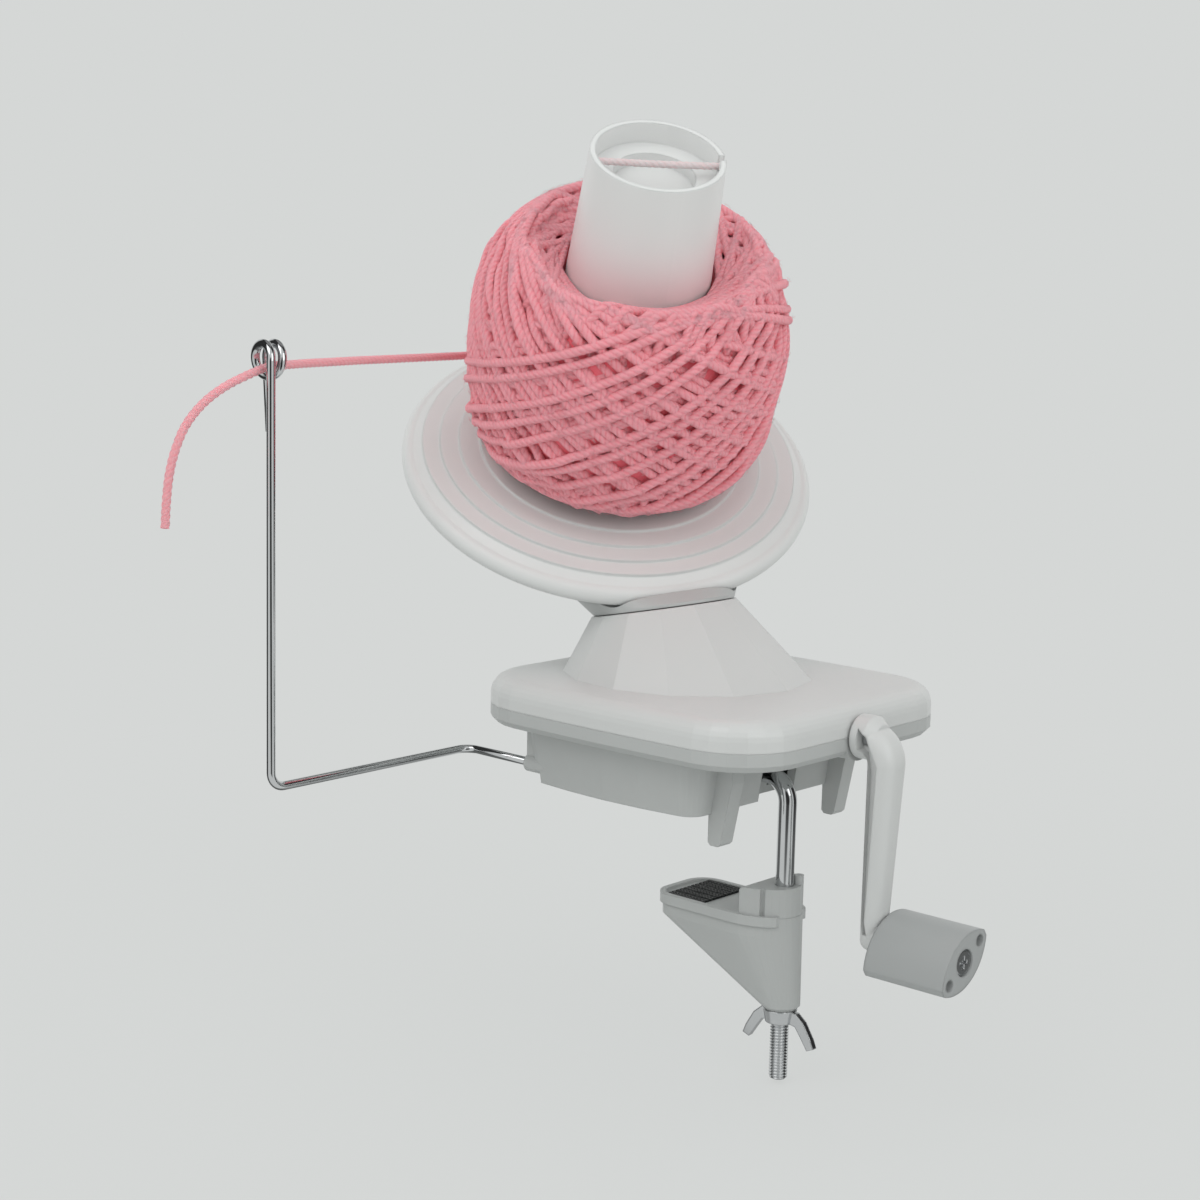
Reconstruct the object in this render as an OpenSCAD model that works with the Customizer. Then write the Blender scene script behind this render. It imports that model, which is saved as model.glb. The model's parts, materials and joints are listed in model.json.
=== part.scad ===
// Table-clamped yarn ball winder. X runs along the crank axle, Z is up, the table top is Z = 0.

/* [Body] */
// Length of the cover along the crank axle
body_l = 120; // [112:1:140]
// Width of the cover
body_w = 108; // [100:1:124]
// Plan corner radius of the cover
body_corner_r = 22; // [16:1:28]
// Swell of the long sides at mid length
side_bulge = 2; // [0:0.5:4]
// Height of the seam between base and cover, which is also the crank axle's height
seam_z = 25.5; // [25:0.5:28]
// Height of the cover above the seam
cover_h = 9.5; // [9:0.5:12]
// Radius of the cover's rounded top edge
cover_round = 6; // [4:0.5:7]
// Height of the flange below the seam
flange_h = 6; // [5:0.5:8]
// Wall thickness of the mouldings
wall = 2.4; // [2:0.1:2.8]

/* [Lower box] */
// Distance from the centre to the box's end under the guide
box_back = 44; // [42:1:48]
// Distance from the centre to the box's end at the table edge
box_front = 31; // [30:1:34]
// Width of the box
box_w = 88; // [80:1:94]
// Draft of the box from top to bottom on each side
box_draft = 3; // [1:0.5:4]
// Distance between the centres of the two prongs
prong_span = 59; // [50:1:66]
// Reach of the prongs below the table top
prong_drop = 10; // [6:0.5:14]

/* [Neck] */
// Centre of the neck's top, measured towards the guide end
neck_back = 21; // [18:1:23]
// Height of the neck's top centre
neck_z = 55.5; // [54:0.5:60]
// Lean of the carrier's axis towards the guide end
neck_lean = 12; // [8:0.5:14]
// Corner radius of the neck's top
neck_r = 24.5; // [23:0.5:27]
// Half angle of the neck's cone
neck_flare = 36; // [30:1:38]
// Number of flat faces round the neck
neck_faces = 14; // [10:2:20]

/* [Spool] */
// Height of the ball's centre above the neck's top, along the carrier's axis
ball_rise = 90; // [89:0.5:94]
// Tilt of the spool's axis from the carrier's axis
spool_tilt = 43; // [41:0.5:43]
// Direction of the tilt at rest, round the carrier's axis
tilt_turn = -28; // [-180:1:180]
// Distance of the disc's rim below the ball's centre
disc_drop = 54; // [53.5:0.5:54]
// Outer radius of the disc
disc_r = 71; // [70.5:0.5:71.5]
// Radius of the rim's rounded edge
rim_r = 3.5; // [3:0.25:3.75]
// Outer radius of the tube's top
tube_top_r = 21.5; // [19:0.5:23]
// Outer radius of the tube's foot
tube_foot_r = 27; // [25:0.5:29]
// Height of the tube's top above the ball's centre
tube_rise = 69; // [60:1:80]
// Wall of the tube
tube_wall = 2.2; // [1.8:0.1:2.6]
// Radius of the steel spindle
spindle_r = 4; // [3.5:0.25:4.5]

/* [Gears] */
// Teeth of the gear on the crank axle
crank_teeth = 35; // [30:1:36]
// Teeth of the pinion on the carrier
pinion_teeth = 14; // [13:1:16]
// Cone distance of the crank gear's outer end
crank_cone = 20; // [19:0.5:20.5]
// Teeth of the still pinion under the spool
sun_teeth = 12; // [12:1:12]
// Teeth of the ring under the disc
ring_teeth = 79; // [77:1:80]
// Cone distance of the ring gear's outer end
ring_cone = 82.3; // [82:0.1:82.6]

/* [Crank] */
// Radius of the crank axle
axle_r = 3.5; // [3:0.25:3.5]
// Distance from the axle to the knob
crank_throw = 63.5; // [50:0.5:80]
// Length of the knob
knob_l = 29; // [20:1:40]
// Long width of the knob
knob_w = 28; // [22:1:32]
// Thickness of the knob
knob_t = 15; // [12:0.5:18]
// Turn of the knob at rest
knob_turn = 35; // [0:1:180]

/* [Clamp] */
// Radius of the clamp rod
rod_r = 3; // [2.5:0.25:3]
// Distance of the upright rod from the centre
rod_x = 33; // [32:0.5:36]
// Height of the rod's leg above the table top
rod_leg_z = 7; // [6:0.5:8]
// Reach of the rod below the table top
rod_drop = 93; // [85:1:110]
// Space between the table top and the jaw's pad, the table's thickness
table_gap = 37; // [24:1:45]
// Length of the jaw
jaw_l = 51.5; // [48:0.5:58]
// Width of the jaw
jaw_w = 27; // [24:1:32]

/* [Guide arm] */
// Radius of the guide wire
wire_r = 1.4; // [1.2:0.1:1.5]
// Distance of the upright wire from the socket along the axle's direction
guide_reach = 28; // [20:1:40]
// Distance of the upright wire from the socket across the body
guide_side = 85; // [70:1:100]
// Height of the yarn loop's centre
loop_z = 137; // [120:1:160]
// Radius of the yarn loop at the wire's middle
loop_r = 5; // [4.5:0.25:7]

/* [Yarn] */
// Diameter of the yarn
yarn_d = 3; // [2.4:0.1:3.2]
// Radius of the ball at its middle
ball_r = 54; // [48:0.5:54]
// Half height of the ball
ball_half_h = 45; // [38:0.5:45]
// Loops that show on the ball
yarn_loops = 22; // [12:1:22]

/* [Hidden] */
$fn = 48;

white = "whitesmoke";
grey = "darkgray";
steel = "silver";
pink = "lightpink";

// Clearances: running fit on a radius, gap between pieces that pass each other, overlap of cuts
run_fit = 0.06;
gap = 0.3;
cut = 1;

flange_z = seam_z - flange_h;
cover_z = seam_z + cover_h;
box_l = box_back + box_front;
box_mid = (box_front - box_back) / 2;
box_corner_r = 8;
box_bulge = 3;

// Crank axle and its bearings
bearing_t = 4;
bearing_x = 10;
bearing_r = 8;
axle_end = -5;

// Fixed post, carrier sleeve and bevel drive; the cone apex lies where the two axes cross
post_r = 2.5;
post_foot_z = 1.7;
sleeve_r = 6;
sleeve_foot_r = 3.6;
spigot_r = 9;
spigot_l = 11;
apex_drop = (neck_z - seam_z) / cos(neck_lean);
apex_x = -neck_back + apex_drop * sin(neck_lean);
shaft_angle = 90 - neck_lean;
pinion_cone_a = atan2(sin(shaft_angle), crank_teeth / pinion_teeth + cos(shaft_angle));
crank_cone_a = shaft_angle - pinion_cone_a;
crank_cone_in = crank_cone - 4.5;

// Spool drive: the ring rolls inside-out on the still pinion, with the apex at the ball's centre
sun_cone_a = atan2(sin(spool_tilt), ring_teeth / sun_teeth - cos(spool_tilt));
ring_cone_a = spool_tilt + sun_cone_a;
sun_cone_in = ring_cone - 3.7;
tooth_share = 0.38;
bevel_module = 2 * crank_cone * sin(pinion_cone_a) / pinion_teeth;
spool_module = 2 * ring_cone * sin(sun_cone_a) / sun_teeth;

// Disc section
rim_mid_r = disc_r - rim_r;
rim_wall = 1.3;
pan_r = rim_mid_r - rim_wall;
disc_top = disc_drop - 8.5;
disc_under = disc_drop - 3.5;
under_step_r = 63.2;
under_step_h = 1.1;
step_h = 0.8;
step_radii = [45, 52, 58.5, 64.5];
disc_hub_r = 9;
disc_hub_top = disc_top - 4.5;
disc_hub_foot = disc_drop + rim_r + 0.5;
collar_h = 8.5;
notch_turn = 78;
notch_h = 4.5;
tail_d = 2.4;
tube_recess = 7;
carrier_top = disc_hub_foot + gap;
carrier_r = neck_r - 1;
carrier_boss_r = 8.5;
carrier_boss_l = 14;
fan_r = 40;
fan_shift = 26;
fan_t = 1.2;

// Crank arm and knob
arm_x = body_l / 2 + 0.8;
arm_boss_l = 8;
arm_boss_r = 7;
knob_z = seam_z - crank_throw;
knob_x = arm_x + arm_boss_l + 4;
knob_pin_r = 2.5;
knob_recess = 3.4;
arm_r = 5;
arm_spread = 1.4;
elbow_x = arm_x + 2;
elbow_r = 7.5;
arm_foot_r = 3.4;
arm_foot_x = knob_x - 4.6;
arm_pin_r = 5.2;
arm_flange = 1.3;
groove_deep = 2;

// Clamp
rod_bend_r = 8;
rod_leg_end = 4;
jaw_h = 31.5;
jaw_end = 6.3;
jaw_round_l = 18;
jaw_tip_r = 8;
jaw_tip_h = 7.6;
jaw_foot_r = 6.4;
jaw_edge = 1.2;
jaw_skin = 1;
rim_low = 2.6;
rim_high = 0.8;
rim_end = 3;
stop_x = 9;
stop_round = 1.6;
stop_skin = 1.2;
slot_x = 1.5;
slot_r = 0.8;
stop_h = 9.6;
fin_h = 3;
pad_t = 2;
pad_l = 15;
pad_w = 22;
pad_x = 40;
pad_sink = 1.4;
deck_z = -table_gap - pad_t + pad_sink;
jaw_foot_z = deck_z - jaw_h;
nut_h = 4.5;
nut_turn = 5;

// Guide arm
guide_y = -40;
guide_z = 5.5;
guide_depth = 22;
guide_x = -box_back - guide_reach;
upright_y = guide_y - guide_side;
wire_bend_r = 5;
loop_pitch = 4.4;
loop_turns = 1.5;
loop_tail = 22;

screw_x = body_l / 2 - 11;
screw_y = body_w / 2 - 17;
screw_r = 1.5;
screw_head_r = 2.9;
screw_boss_r = 4.2;

function polar(r, a) = [r * cos(a), r * sin(a)];
function ngon(n, r) = [for (i = [0:n - 1]) polar(r, 360 / n * (i + 0.5))];
function swell(p, half_l, half_w, bulge) =
  [p[0], p[1] * (1 + bulge / half_w * (1 - pow(p[0] / half_l, 2)))];

// Rounded rectangle with swelling long sides, drawn in by inset on every side
function plan(l, w, r, bulge, inset = 0) =
  let (a = l / 2 - inset, b = w / 2 - inset, c = max(r - inset, 1))
  [for (k = [0:3])
    let (sx = (k == 0 || k == 3) ? 1 : -1, sy = k < 2 ? 1 : -1, long = k % 2 == 0)
    each concat(
      [for (i = [0:6]) swell([sx * (a - c), sy * (b - c)] + polar(c, 90 * k + 15 * i), a, b, bulge)],
      long ? [for (i = [1:3]) swell([sx * (a - c) * (1 - i / 2), sy * b], a, b, bulge)] : []
    )];

function cover_plan(inset) = plan(body_l, body_w, body_corner_r, side_bulge, inset);
function box_plan(inset) =
  [for (p = plan(box_l, box_w, box_corner_r, box_bulge, inset)) p + [box_mid, 0]];

// Outline of straight-flanked teeth; the first tooth is centred on the X axis
function teeth(n, tip_r, tip_w, root_r, root_w) =
  [for (i = [0:n - 1])
    let (c = 360 / n * i, t = tip_w / tip_r * 90 / PI, b = root_w / root_r * 90 / PI)
    each [polar(root_r, c - b), polar(tip_r, c - t), polar(tip_r, c + t), polar(root_r, c + b)]];

// Outer teeth of a bevel gear at its large end, for a cone distance, cone angle and module
function bevel_teeth(n, cone, a, m) =
  let (r = cone * sin(a), w = PI * m * tooth_share)
  teeth(n, r + 0.75 * m / cos(a), 0.75 * w, r - 0.95 * m / cos(a), 1.2 * w);

// Closed tube round a path: rings stand square to the path, without twist between neighbours
function unit(v) = v / norm(v);
function heading(path, i) =
  unit(path[min(i + 1, len(path) - 1)] - path[max(i - 1, 0)]);
function ring_points(p, t, ref, r, sides) =
  let (u = unit(cross(t, ref)), v = cross(t, u))
  [for (k = [0:sides - 1]) p + r * (cos(360 / sides * k) * u + sin(360 / sides * k) * v)];

module tube(path, r, sides, refs) {
  n = len(path);
  points = [for (i = [0:n - 1]) each ring_points(path[i], heading(path, i), refs[i], r, sides)];
  walls = [for (i = [0:n - 2], k = [0:sides - 1])
    let (a = i * sides + k, b = i * sides + (k + 1) % sides)
    each [[a, a + sides, b], [b, a + sides, b + sides]]];
  start = [for (k = [1:sides - 2]) [0, k, k + 1]];
  last = (n - 1) * sides;
  end = [for (k = [1:sides - 2]) [last, last + k + 1, last + k]];
  polyhedron(points, concat(walls, start, end));
}

// Frames: neck top with Z along the carrier's axis, ball centre, and spool axis
module on_neck() {
  translate([-neck_back, 0, neck_z]) rotate([0, -neck_lean, 0]) children();
}

module on_spool() {
  on_neck() translate([0, 0, ball_rise]) rotate([0, 0, tilt_turn]) rotate([0, spool_tilt, 0]) children();
}

module along_x(x, y, z) {
  translate([x, y, z]) rotate([0, 90, 0]) children();
}

module at_screws() {
  for (sx = [-1, 1], sy = [-1, 1]) translate([sx * screw_x, sy * screw_y, 0]) children();
}

// Base: flange, drafted lower box, prongs, bearings and sockets
module prong() {
  foot_l = 5;
  top_l = 9;
  prong_t = 6;
  translate([box_front - 4, prong_t / 2, flange_z + cut]) rotate([90, 0, 0])
    linear_extrude(prong_t)
      polygon([
        [0, 0], [top_l, 0], [top_l, -flange_z / 2],
        [foot_l, -flange_z - cut - prong_drop + 1], [foot_l - 1, -flange_z - cut - prong_drop],
        [1, -flange_z - cut - prong_drop], [0, -flange_z - cut - prong_drop + 1]
      ]);
}

module base_shell() {
  edge = 2;
  difference() {
    union() {
      hull() {
        translate([0, 0, flange_z]) linear_extrude(0.1) polygon(cover_plan(edge));
        translate([0, 0, flange_z + edge]) linear_extrude(flange_h - edge) polygon(cover_plan(0));
      }
      hull() {
        linear_extrude(0.1) polygon(box_plan(box_draft));
        translate([0, 0, flange_z]) linear_extrude(1) polygon(box_plan(0));
      }
    }
    translate([0, 0, flange_z + wall]) linear_extrude(flange_h) polygon(cover_plan(wall));
    translate([0, 0, wall]) linear_extrude(seam_z) polygon(box_plan(wall + box_draft));
    translate([-box_back - cut, -box_w, -cut]) cube([8 + cut, 2 * box_w, 4.8 + cut]);
  }
}

module base_housing() {
  notch_w = 18;
  notch_h = 14;
  color(grey) difference() {
    union() {
      base_shell();
      for (s = [-1, 1]) translate([0, s * prong_span / 2, 0]) prong();
      difference() {
        along_x(body_l / 2 - 11, 0, seam_z) cylinder(r = bearing_r, h = 11);
        translate([0, -bearing_r - cut, seam_z]) cube([body_l, 2 * bearing_r + 2 * cut, bearing_r + cut]);
      }
      translate([bearing_x, -bearing_r, wall - 0.5]) cube([bearing_t, 2 * bearing_r, seam_z - wall + 0.5]);
      along_x(bearing_x, 0, seam_z) cylinder(r = bearing_r, h = bearing_t);
      along_x(rod_leg_end, 0, rod_leg_z) cylinder(r = rod_r + 2.4, h = box_front - rod_leg_end - wall);
      translate([rod_leg_end, -rod_r, 1]) cube([box_front - rod_leg_end - 8, 2 * rod_r, rod_leg_z - 1]);
      along_x(-box_back + 1, guide_y, guide_z) cylinder(r = wire_r + 1.6, h = guide_depth + 1);
      translate([-box_back + 1, guide_y - wire_r, guide_z])
        cube([guide_depth, 2 * wire_r, flange_z - guide_z + 1]);
      translate([apex_x + (seam_z - post_foot_z) * tan(neck_lean), 0, 0.5]) cylinder(r = 6, h = 3.8);
      at_screws() translate([0, 0, flange_z]) cylinder(r = screw_boss_r, h = flange_h);
    }
    along_x(bearing_x - cut, 0, seam_z) cylinder(r = axle_r + run_fit, h = body_l);
    along_x(bearing_x + bearing_t, 0, seam_z)
      cylinder(r = axle_r + cut, h = body_l / 2 - 11 - bearing_x - bearing_t);
    along_x(rod_leg_end - cut, 0, rod_leg_z) cylinder(r = rod_r, h = box_front + cut);
    translate([box_front - 9, -notch_w / 2, -cut]) cube([20, notch_w, notch_h + cut]);
    along_x(-box_back - cut, guide_y, guide_z) cylinder(r = wire_r + run_fit, h = guide_depth + cut);
    on_neck() translate([0, 0, -(neck_z - post_foot_z) / cos(neck_lean)]) cylinder(r = post_r, h = 10);
    at_screws() translate([0, 0, flange_z - cut]) {
      cylinder(r = screw_r + gap, h = flange_h + 2 * cut);
      cylinder(r = screw_head_r + gap, h = cut + 2);
    }
  }
}

// Cover: rounded shell, facetted neck with its bearing, half bearing and screw bosses
module cover_block() {
  rise = cover_h - cover_round;
  hull() {
    translate([0, 0, seam_z]) linear_extrude(rise) polygon(cover_plan(0));
    for (a = [15:15:90])
      translate([0, 0, seam_z + rise + cover_round * sin(a) - 0.01]) linear_extrude(0.01)
        polygon(cover_plan(cover_round * (1 - cos(a))));
  }
}

module neck_block() {
  foot_h = 36;
  foot_r = neck_r + foot_h * tan(neck_flare);
  intersection() {
    on_neck() translate([0, 0, -foot_h]) linear_extrude(foot_h, scale = neck_r / foot_r)
      rotate(180 / neck_faces) polygon(ngon(neck_faces, foot_r));
    translate([-body_l, -body_w, cover_z - 1]) cube([2 * body_l, 2 * body_w, neck_z]);
  }
}

module top_cover() {
  lid = 3;
  foot_h = 36;
  lid_r = neck_r + lid * tan(neck_flare) - (wall + 0.5) / cos(neck_flare);
  color(white) difference() {
    union() {
      difference() {
        union() {
          cover_block();
          neck_block();
        }
        translate([0, 0, seam_z - cut]) linear_extrude(cover_h - cover_round + cut)
          polygon(cover_plan(wall));
        translate([0, 0, seam_z - cut]) linear_extrude(cover_h - wall + cut)
          polygon(cover_plan(wall + 2));
        on_neck() translate([0, 0, -foot_h])
          cylinder(r1 = lid_r + (foot_h - lid) * tan(neck_flare), r2 = lid_r, h = foot_h - lid);
      }
      on_neck() translate([0, 0, -spigot_l]) cylinder(r = spigot_r + 2.4, h = spigot_l - 1);
      intersection() {
        along_x(body_l / 2 - 11, 0, seam_z) cylinder(r = bearing_r, h = 10);
        cover_block();
      }
      at_screws() translate([0, 0, seam_z]) cylinder(r = screw_boss_r, h = cover_h - wall + 0.5);
    }
    translate([-body_l, -body_w, seam_z - body_w]) cube([2 * body_l, 2 * body_w, body_w]);
    on_neck() translate([0, 0, -spigot_l - cut]) cylinder(r = spigot_r + run_fit, h = spigot_l + 2 * cut);
    along_x(bearing_x - cut, 0, seam_z) cylinder(r = axle_r + run_fit, h = body_l);
    at_screws() translate([0, 0, seam_z - cut]) cylinder(r = screw_r, h = cover_h - wall + cut - 0.8);
  }
}

module cover_screws() {
  color(steel) at_screws() translate([0, 0, flange_z + 0.2]) {
    cylinder(r = screw_head_r, h = 1.8);
    cylinder(r = screw_r, h = flange_h + cover_h - wall - 1.4);
  }
}

// Still centre: post and pinion
module fixed_post() {
  foot = (neck_z - post_foot_z) / cos(neck_lean);
  color(steel) on_neck() translate([0, 0, -foot])
    cylinder(r = post_r, h = foot + ball_rise - sun_cone_in * cos(sun_cone_a) + 0.3);
}

module sun_pinion() {
  h = (ring_cone - sun_cone_in) * cos(sun_cone_a);
  color(grey) on_neck() translate([0, 0, ball_rise - ring_cone * cos(sun_cone_a)]) rotate([0, 0, tilt_turn])
    difference() {
      linear_extrude(h, scale = sun_cone_in / ring_cone)
        polygon(bevel_teeth(sun_teeth, ring_cone, sun_cone_a, spool_module));
      translate([0, 0, -cut]) linear_extrude(h + 2 * cut) polygon(ngon(24, post_r / cos(180 / 24)));
    }
}

// Crank: axle, bevel gear, arm, knob and its shoulder screw
module crank_shaft() {
  color(steel) along_x(axle_end, 0, seam_z) cylinder(r = axle_r, h = arm_x + arm_boss_l - 1.5 - axle_end);
}

module crank_gear() {
  small_share = crank_cone_in / crank_cone;
  small_z = crank_cone_in * cos(crank_cone_a);
  large_z = crank_cone * cos(crank_cone_a);
  web_r = crank_cone * sin(crank_cone_a) - bevel_module / cos(crank_cone_a);
  web_t = 2.6;
  color(white) along_x(apex_x, 0, seam_z) difference() {
    union() {
      translate([0, 0, small_z]) linear_extrude(large_z - small_z, scale = 1 / small_share)
        polygon(small_share * bevel_teeth(crank_teeth, crank_cone, crank_cone_a, bevel_module));
      translate([0, 0, large_z]) linear_extrude(web_t) polygon(ngon(crank_teeth, web_r));
      translate([0, 0, large_z]) linear_extrude(bearing_x - gap - apex_x - large_z)
        polygon(ngon(24, axle_r + 3));
    }
    translate([0, 0, -cut]) linear_extrude(body_l) polygon(ngon(24, axle_r / cos(180 / 24)));
  }
}

// Two balls side by side across the arm
module arm_pair(x, z, r) {
  for (s = [-1, 1]) translate([x, s * arm_spread, z]) sphere(r = r, $fn = 32);
}

module arm_elbow() {
  translate([elbow_x, 0, seam_z - elbow_r]) rotate([90, 0, 0]) rotate_extrude(angle = 90)
    translate([elbow_r, 0]) {
      square([2 * arm_r, 2 * arm_spread], center = true);
      for (s = [-1, 1]) translate([0, s * arm_spread]) circle(r = arm_r);
    }
}

module arm_bar() {
  hull() {
    along_x(arm_x, 0, seam_z) cylinder(r = arm_boss_r, h = arm_boss_l - 3, $fn = 32);
    along_x(arm_x, 0, seam_z) cylinder(r = arm_boss_r - 2.5, h = arm_boss_l, $fn = 32);
  }
  arm_elbow();
  hull() {
    arm_pair(elbow_x + elbow_r, seam_z - elbow_r, arm_r);
    arm_pair(arm_foot_x, knob_z, arm_foot_r);
  }
  hull() {
    arm_pair(arm_foot_x, knob_z, arm_foot_r);
    along_x(knob_x - gap - 1, 0, knob_z) cylinder(r = arm_pin_r, h = 1, $fn = 32);
  }
}

// Groove down each side of the arm, inside the flange that faces the body
module arm_groove() {
  top_x = elbow_x + elbow_r - arm_r + arm_flange;
  foot_x = arm_foot_x - arm_foot_r + arm_flange;
  linear_extrude(groove_deep + arm_spread + arm_r)
    polygon([
      [arm_x + 2.6, seam_z + 3.5], [arm_x + 5.5, seam_z + 1.5], [top_x + 4.2, seam_z - elbow_r],
      [foot_x + 1.6, knob_z + 6], [foot_x + 2.6, knob_z + 2], [foot_x + 1, knob_z + 2], [foot_x, knob_z + 6],
      [top_x, seam_z - elbow_r - 2], [arm_x + 4.6, seam_z - 4], [arm_x + 2.6, seam_z - 3]
    ]);
}

module crank_arm() {
  color(white) difference() {
    arm_bar();
    for (m = [0, 1]) mirror([0, m, 0])
      translate([0, groove_deep - arm_spread - arm_foot_r, 0]) rotate([90, 0, 0]) arm_groove();
    along_x(arm_x - cut, 0, seam_z) cylinder(r = axle_r, h = arm_boss_l - 1.5 + cut);
    along_x(arm_x - cut, 0, knob_z) cylinder(r = knob_pin_r, h = body_l);
  }
}

module crank_knob() {
  flank_r = (pow(knob_w, 2) + pow(knob_t, 2)) / (4 * knob_t);
  tip_cut = knob_w / 2 - 0.9;
  color(grey) along_x(knob_x, 0, knob_z) rotate([0, 0, knob_turn + 90]) difference() {
    intersection() {
      translate([0, flank_r - knob_t / 2, 0]) cylinder(r = flank_r, h = knob_l);
      translate([0, knob_t / 2 - flank_r, 0]) cylinder(r = flank_r, h = knob_l);
      cylinder(r = tip_cut, h = knob_l);
    }
    translate([0, 0, -cut]) cylinder(r = knob_pin_r + run_fit, h = knob_l + 2 * cut);
    translate([0, 0, knob_l - knob_recess]) cylinder(r = 4.3, h = knob_recess + cut);
    for (s = [-1, 1]) translate([s * (knob_w / 2 - 4.5), 0, knob_l - 2.4]) cylinder(r = 1.9, h = 2.4 + cut);
  }
}

module knob_screw() {
  head_h = 2.6;
  shank_l = knob_x + knob_l - knob_recess + gap - arm_x - 5;
  color(steel) along_x(arm_x + 5, 0, knob_z) {
    cylinder(r = knob_pin_r, h = shank_l);
    translate([0, 0, shank_l]) difference() {
      cylinder(r = 3.9, h = head_h);
      for (a = [0, 90]) rotate([0, 0, a]) translate([-2, -0.5, head_h - 1.4]) cube([4, 1, 2]);
    }
  }
}

// Carrier: the turning wedge, its sleeve and pinion, and the tilted spindle
module disc_path(clear) {
  translate([0, 0, -carrier_top]) cylinder(r = rim_mid_r, h = 2 * ball_rise);
  translate([0, 0, -disc_drop]) cylinder(r = disc_r + clear, h = 2 * ball_rise);
  rotate_extrude() translate([rim_mid_r, -disc_drop]) circle(r = rim_r + clear);
}

module tilt_carrier() {
  pocket_z = ball_rise - ring_cone * cos(sun_cone_a) - 0.5;
  sun_clear_r = ring_cone * sin(sun_cone_a) + spool_module + 1;
  color(grey) difference() {
    union() {
      difference() {
        hull() {
          on_neck() translate([0, 0, gap]) cylinder(r = carrier_r, h = 1, $fn = 64);
          on_spool() translate([fan_shift, 0, -carrier_top - fan_t])
            cylinder(r = fan_r, h = fan_t, $fn = 64);
        }
        on_spool() disc_path(0.8);
      }
      on_neck() translate([0, 0, -spigot_l]) cylinder(r = spigot_r, h = spigot_l + 1);
      on_spool() translate([0, 0, -carrier_top - carrier_boss_l])
        cylinder(r = carrier_boss_r, h = carrier_boss_l);
    }
    on_neck() {
      translate([0, 0, pocket_z]) cylinder(r = sun_clear_r, h = ball_rise);
      translate([0, 0, -spigot_l - cut]) cylinder(r = sleeve_r, h = ball_rise / 2);
    }
    on_spool() translate([0, 0, -carrier_top - carrier_boss_l + 2]) cylinder(r = spindle_r, h = ball_rise);
  }
}

module carrier_sleeve() {
  step = apex_drop + crank_cone_in * cos(pinion_cone_a) - 5.5;
  foot = apex_drop + crank_cone * cos(pinion_cone_a);
  top = 4.4;
  color(steel) on_neck() difference() {
    union() {
      translate([0, 0, -step]) cylinder(r = sleeve_r, h = step + top);
      translate([0, 0, -foot]) cylinder(r = sleeve_foot_r, h = foot);
    }
    translate([0, 0, -foot - cut]) cylinder(r = post_r + run_fit, h = foot + ball_rise);
  }
}

module carrier_pinion() {
  h = (crank_cone - crank_cone_in) * cos(pinion_cone_a);
  color(grey) on_neck() translate([0, 0, -apex_drop - crank_cone * cos(pinion_cone_a)])
    rotate([0, 0, 180 / pinion_teeth]) difference() {
      linear_extrude(h, scale = crank_cone_in / crank_cone)
        polygon(bevel_teeth(pinion_teeth, crank_cone, pinion_cone_a, bevel_module));
      translate([0, 0, -cut]) linear_extrude(h + 2 * cut) polygon(ngon(24, sleeve_foot_r / cos(180 / 24)));
    }
}

washer_z = disc_hub_top - 0.4;
washer_t = 1.2;

module spool_spindle() {
  foot = carrier_top + carrier_boss_l - 2;
  color(steel) on_spool() difference() {
    translate([0, 0, -foot]) cylinder(r = spindle_r, h = foot - washer_z);
    translate([0, 0, -washer_z - 9]) cylinder(r = screw_r, h = 9 + cut);
  }
}

module spindle_washer() {
  color(steel) on_spool() translate([0, 0, -washer_z]) difference() {
    cylinder(r = disc_hub_r - 1, h = washer_t);
    translate([0, 0, -cut]) cylinder(r = screw_r, h = washer_t + 2 * cut);
  }
}

module spindle_screw() {
  color(steel) on_spool() translate([0, 0, -washer_z]) {
    translate([0, 0, -8]) cylinder(r = screw_r, h = 8 + washer_t);
    translate([0, 0, washer_t]) cylinder(r = screw_head_r, h = 2);
  }
}

// Spool: stepped disc with its collar, toothed ring and tapered tube
function tube_r(z) = tube_foot_r + (tube_top_r - tube_foot_r) * (z + disc_top) / (tube_rise + disc_top);

module spool_disc() {
  collar_r = tube_r(-disc_top) - tube_wall - run_fit;
  collar_top_r = tube_r(collar_h - disc_top) - tube_wall - run_fit;
  steps = [for (i = [0:len(step_radii) - 1])
    each [[step_radii[i], -disc_top - i * step_h], [step_radii[i], -disc_top - (i + 1) * step_h]]];
  rim = [for (a = [90:-15:-90]) [rim_mid_r, -disc_drop] + polar(rim_r, a)];
  color(white) on_spool() rotate_extrude()
    polygon(concat(
      [
        [spindle_r + run_fit, -disc_hub_foot], [spindle_r + run_fit, -disc_hub_top],
        [disc_hub_r, -disc_hub_top], [disc_hub_r, -disc_top], [collar_top_r - 2, -disc_top],
        [collar_top_r - 2, collar_h - disc_top],
        [collar_top_r, collar_h - disc_top], [collar_r, -disc_top]
      ],
      steps, rim,
      [
        [pan_r, -disc_drop - rim_r], [pan_r, -disc_under],
        [under_step_r, -disc_under], [under_step_r, under_step_h - disc_under],
        [disc_hub_r, under_step_h - disc_under], [disc_hub_r, -disc_hub_foot]
      ]
    ));
}

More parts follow.
